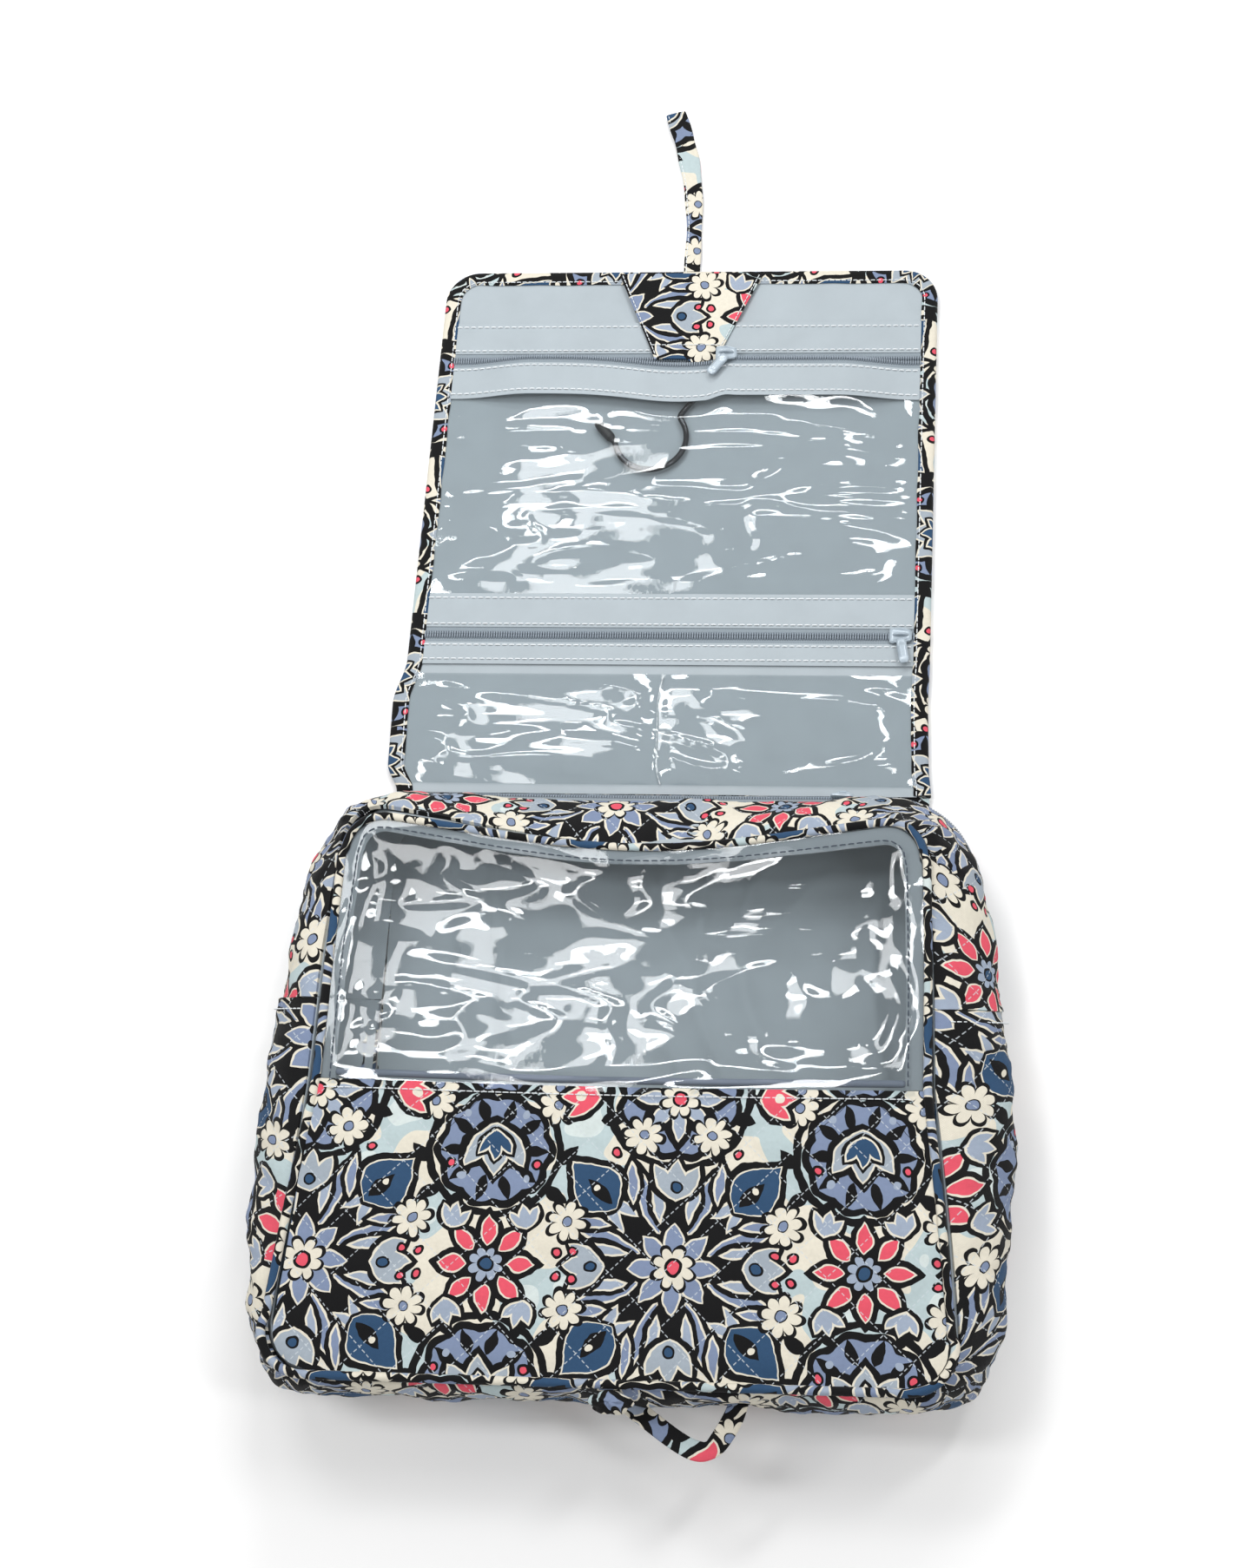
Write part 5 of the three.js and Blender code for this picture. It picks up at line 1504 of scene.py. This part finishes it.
STRAP_BEND = (355, 366, 2.6)
STRAP_BODIES = ("strap_root", "strap_end")
middle = spline(
    [(0, 307.5, 2.2), (-0.5, 341, 1.5), (-3.4, 368, 1.5), (-8.3, 390, 1.5), (-14.6, 410, 1.5)], 90)
s = np.linspace(0, 1, 90)
half = lerp(4.2, 5.7, smooth(s, 0.1, 0.75)) + 0.25 * np.sin(s * 23)
twist = 0.12 * np.sin(s * 6) * (s > 0.02)
strap = add_piece("closure_strap", *ribbon(middle, half, 2.3, twist, (0, -172)), TRIM, STRAP_BODIES,
                  STRAP_BODIES, "print_trim", STRAP_BEND)
offset = np.cross(np.gradient(middle, axis=0), (0, 0, 1.0))
offset /= np.linalg.norm(offset, axis=1, keepdims=True)
line = middle - offset * (half - 1.2)[:, None] + np.array([0, 0, 0.9])
add_piece("closure_strap_stitches", *stitches(line, 2.8, 0.62, 0.24, 0), THREAD_PALE, STRAP_BODIES,
          bend=STRAP_BEND)

LOOP_Z = 50
arm = spline([(6, -282, LOOP_Z + 2), (14, -288, LOOP_Z), (28, -297.5, LOOP_Z), (36.5, -301.2, LOOP_Z),
              (42.5, -300.3, LOOP_Z), (47, -295, LOOP_Z), (51.5, -287, LOOP_Z), (54, -280, LOOP_Z)], 90)
half = 4.3 - 0.5 * np.exp(-(((s - 0.55) / 0.08) ** 2))
add_piece("bottom_loop_strap", *ribbon(arm, half, 2.4, 0.25 * np.sin(s * 7), (30, -160)), TRIM, "loop",
          ["bottom_loop"], "print_trim")
# the loop's bunched end, tacked over the piping
B, A = np.meshgrid(np.linspace(0.04, math.pi - 0.04, 22), np.linspace(0, 2 * math.pi, 37)[:-1], indexing="ij")
lump = 1 + 0.14 * np.sin(5 * A + 2 * np.cos(B * 3)) * np.sin(B) + 0.1 * swell(A * 20, B * 20, 171, 26, 2)
centre = np.array([4, -284.0, front_height(FRONT["bottom"]) - 0.6])
ball = np.stack([np.sin(B) * np.cos(A), np.sin(B) * np.sin(A), np.cos(B)], -1)
P = centre + lump[..., None] * ball * (8.6, 4.6, 4.2)
add_piece("bottom_loop_tack_cloth", *close_rings(P, P[..., :2] * 1.3 + (0, 60), True), TRIM, "box",
          ["bottom_loop_tack"], "print_trim")

# ---- camera, light and floor ------------------------------------------------------------------------------
camera = bpy.data.objects.new("camera", bpy.data.cameras.new("camera"))
bpy.context.scene.collection.objects.link(camera)
camera.data.sensor_width = 36
camera.data.lens = 50.74
camera.data.clip_start, camera.data.clip_end = 0.01, 50
yaw, pitch, roll = -0.2175, 1.2101, -0.1931
forward = Vector((math.sin(yaw) * math.cos(pitch), math.cos(yaw) * math.cos(pitch), -math.sin(pitch)))
right = Vector((math.cos(yaw), -math.sin(yaw), 0))
up = right.cross(forward)
rolled_right = right * math.cos(roll) + up * math.sin(roll)
rolled_up = up * math.cos(roll) - right * math.sin(roll)
camera.matrix_world = Matrix((
    (rolled_right.x, rolled_up.x, -forward.x, 0.065754),
    (rolled_right.y, rolled_up.y, -forward.y, -0.359347),
    (rolled_right.z, rolled_up.z, -forward.z, 1.018174),
    (0, 0, 0, 1),
))
bpy.context.scene.camera = camera

floor_mesh = bpy.data.meshes.new("floor")
corners = [(x * 6, y * 6, -0.0006) for x, y in ((-1, -1), (1, -1), (1, 1), (-1, 1))]
floor_mesh.from_pydata(corners, [], [(0, 1, 2, 3)])
floor = bpy.data.objects.new("floor", floor_mesh)
bpy.context.scene.collection.objects.link(floor)
floor_look, floor_tree, floor_shader = new_material("floor", 0.9)
floor_shader.inputs["Base Color"].default_value = (0.94, 0.94, 0.94, 1)
floor_mesh.materials.append(floor_look)
floor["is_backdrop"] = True

world = bpy.data.worlds.new("world")
bpy.context.scene.world = world
world.use_nodes = True
world.node_tree.nodes["Background"].inputs[0].default_value = (1.0, 1.0, 1.0, 1)
world.node_tree.nodes["Background"].inputs[1].default_value = 0.5
bpy.context.scene.view_settings.view_transform = "Standard"


def softbox(name, at, aim, size, power):
    lamp = bpy.data.lights.new(name, "AREA")
    lamp.shape = "RECTANGLE"
    lamp.size, lamp.size_y = size
    lamp.energy = power
    holder = bpy.data.objects.new(name, lamp)
    holder.location = at
    holder.rotation_mode = "QUATERNION"
    holder.rotation_quaternion = (Vector(aim) - Vector(at)).to_track_quat("-Z", "Y")
    bpy.context.scene.collection.objects.link(holder)


softbox("lamp_a", (-0.45, 0.75, 1.5), (0, 0, 0), (0.55, 0.16), 5)
softbox("lamp_b", (0.55, 0.55, 1.5), (0, 0, 0), (0.16, 0.5), 4)
softbox("lamp_c", (0.2, 1.25, 1.3), (0, 0.1, 0), (0.7, 0.14), 6)
softbox("lamp_d", (-0.75, -0.1, 1.3), (0, 0, 0), (0.2, 0.6), 5)
softbox("lamp_f", (-0.1, 0.25, 0.52), (0, 0.25, 0), (0.4, 0.1), 0.8)
softbox("lamp_e", (0.9, -0.35, 1.3), (0, 0, 0), (0.2, 0.6), 4)

# ---- size -------------------------------------------------------------------------------------------------
low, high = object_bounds()
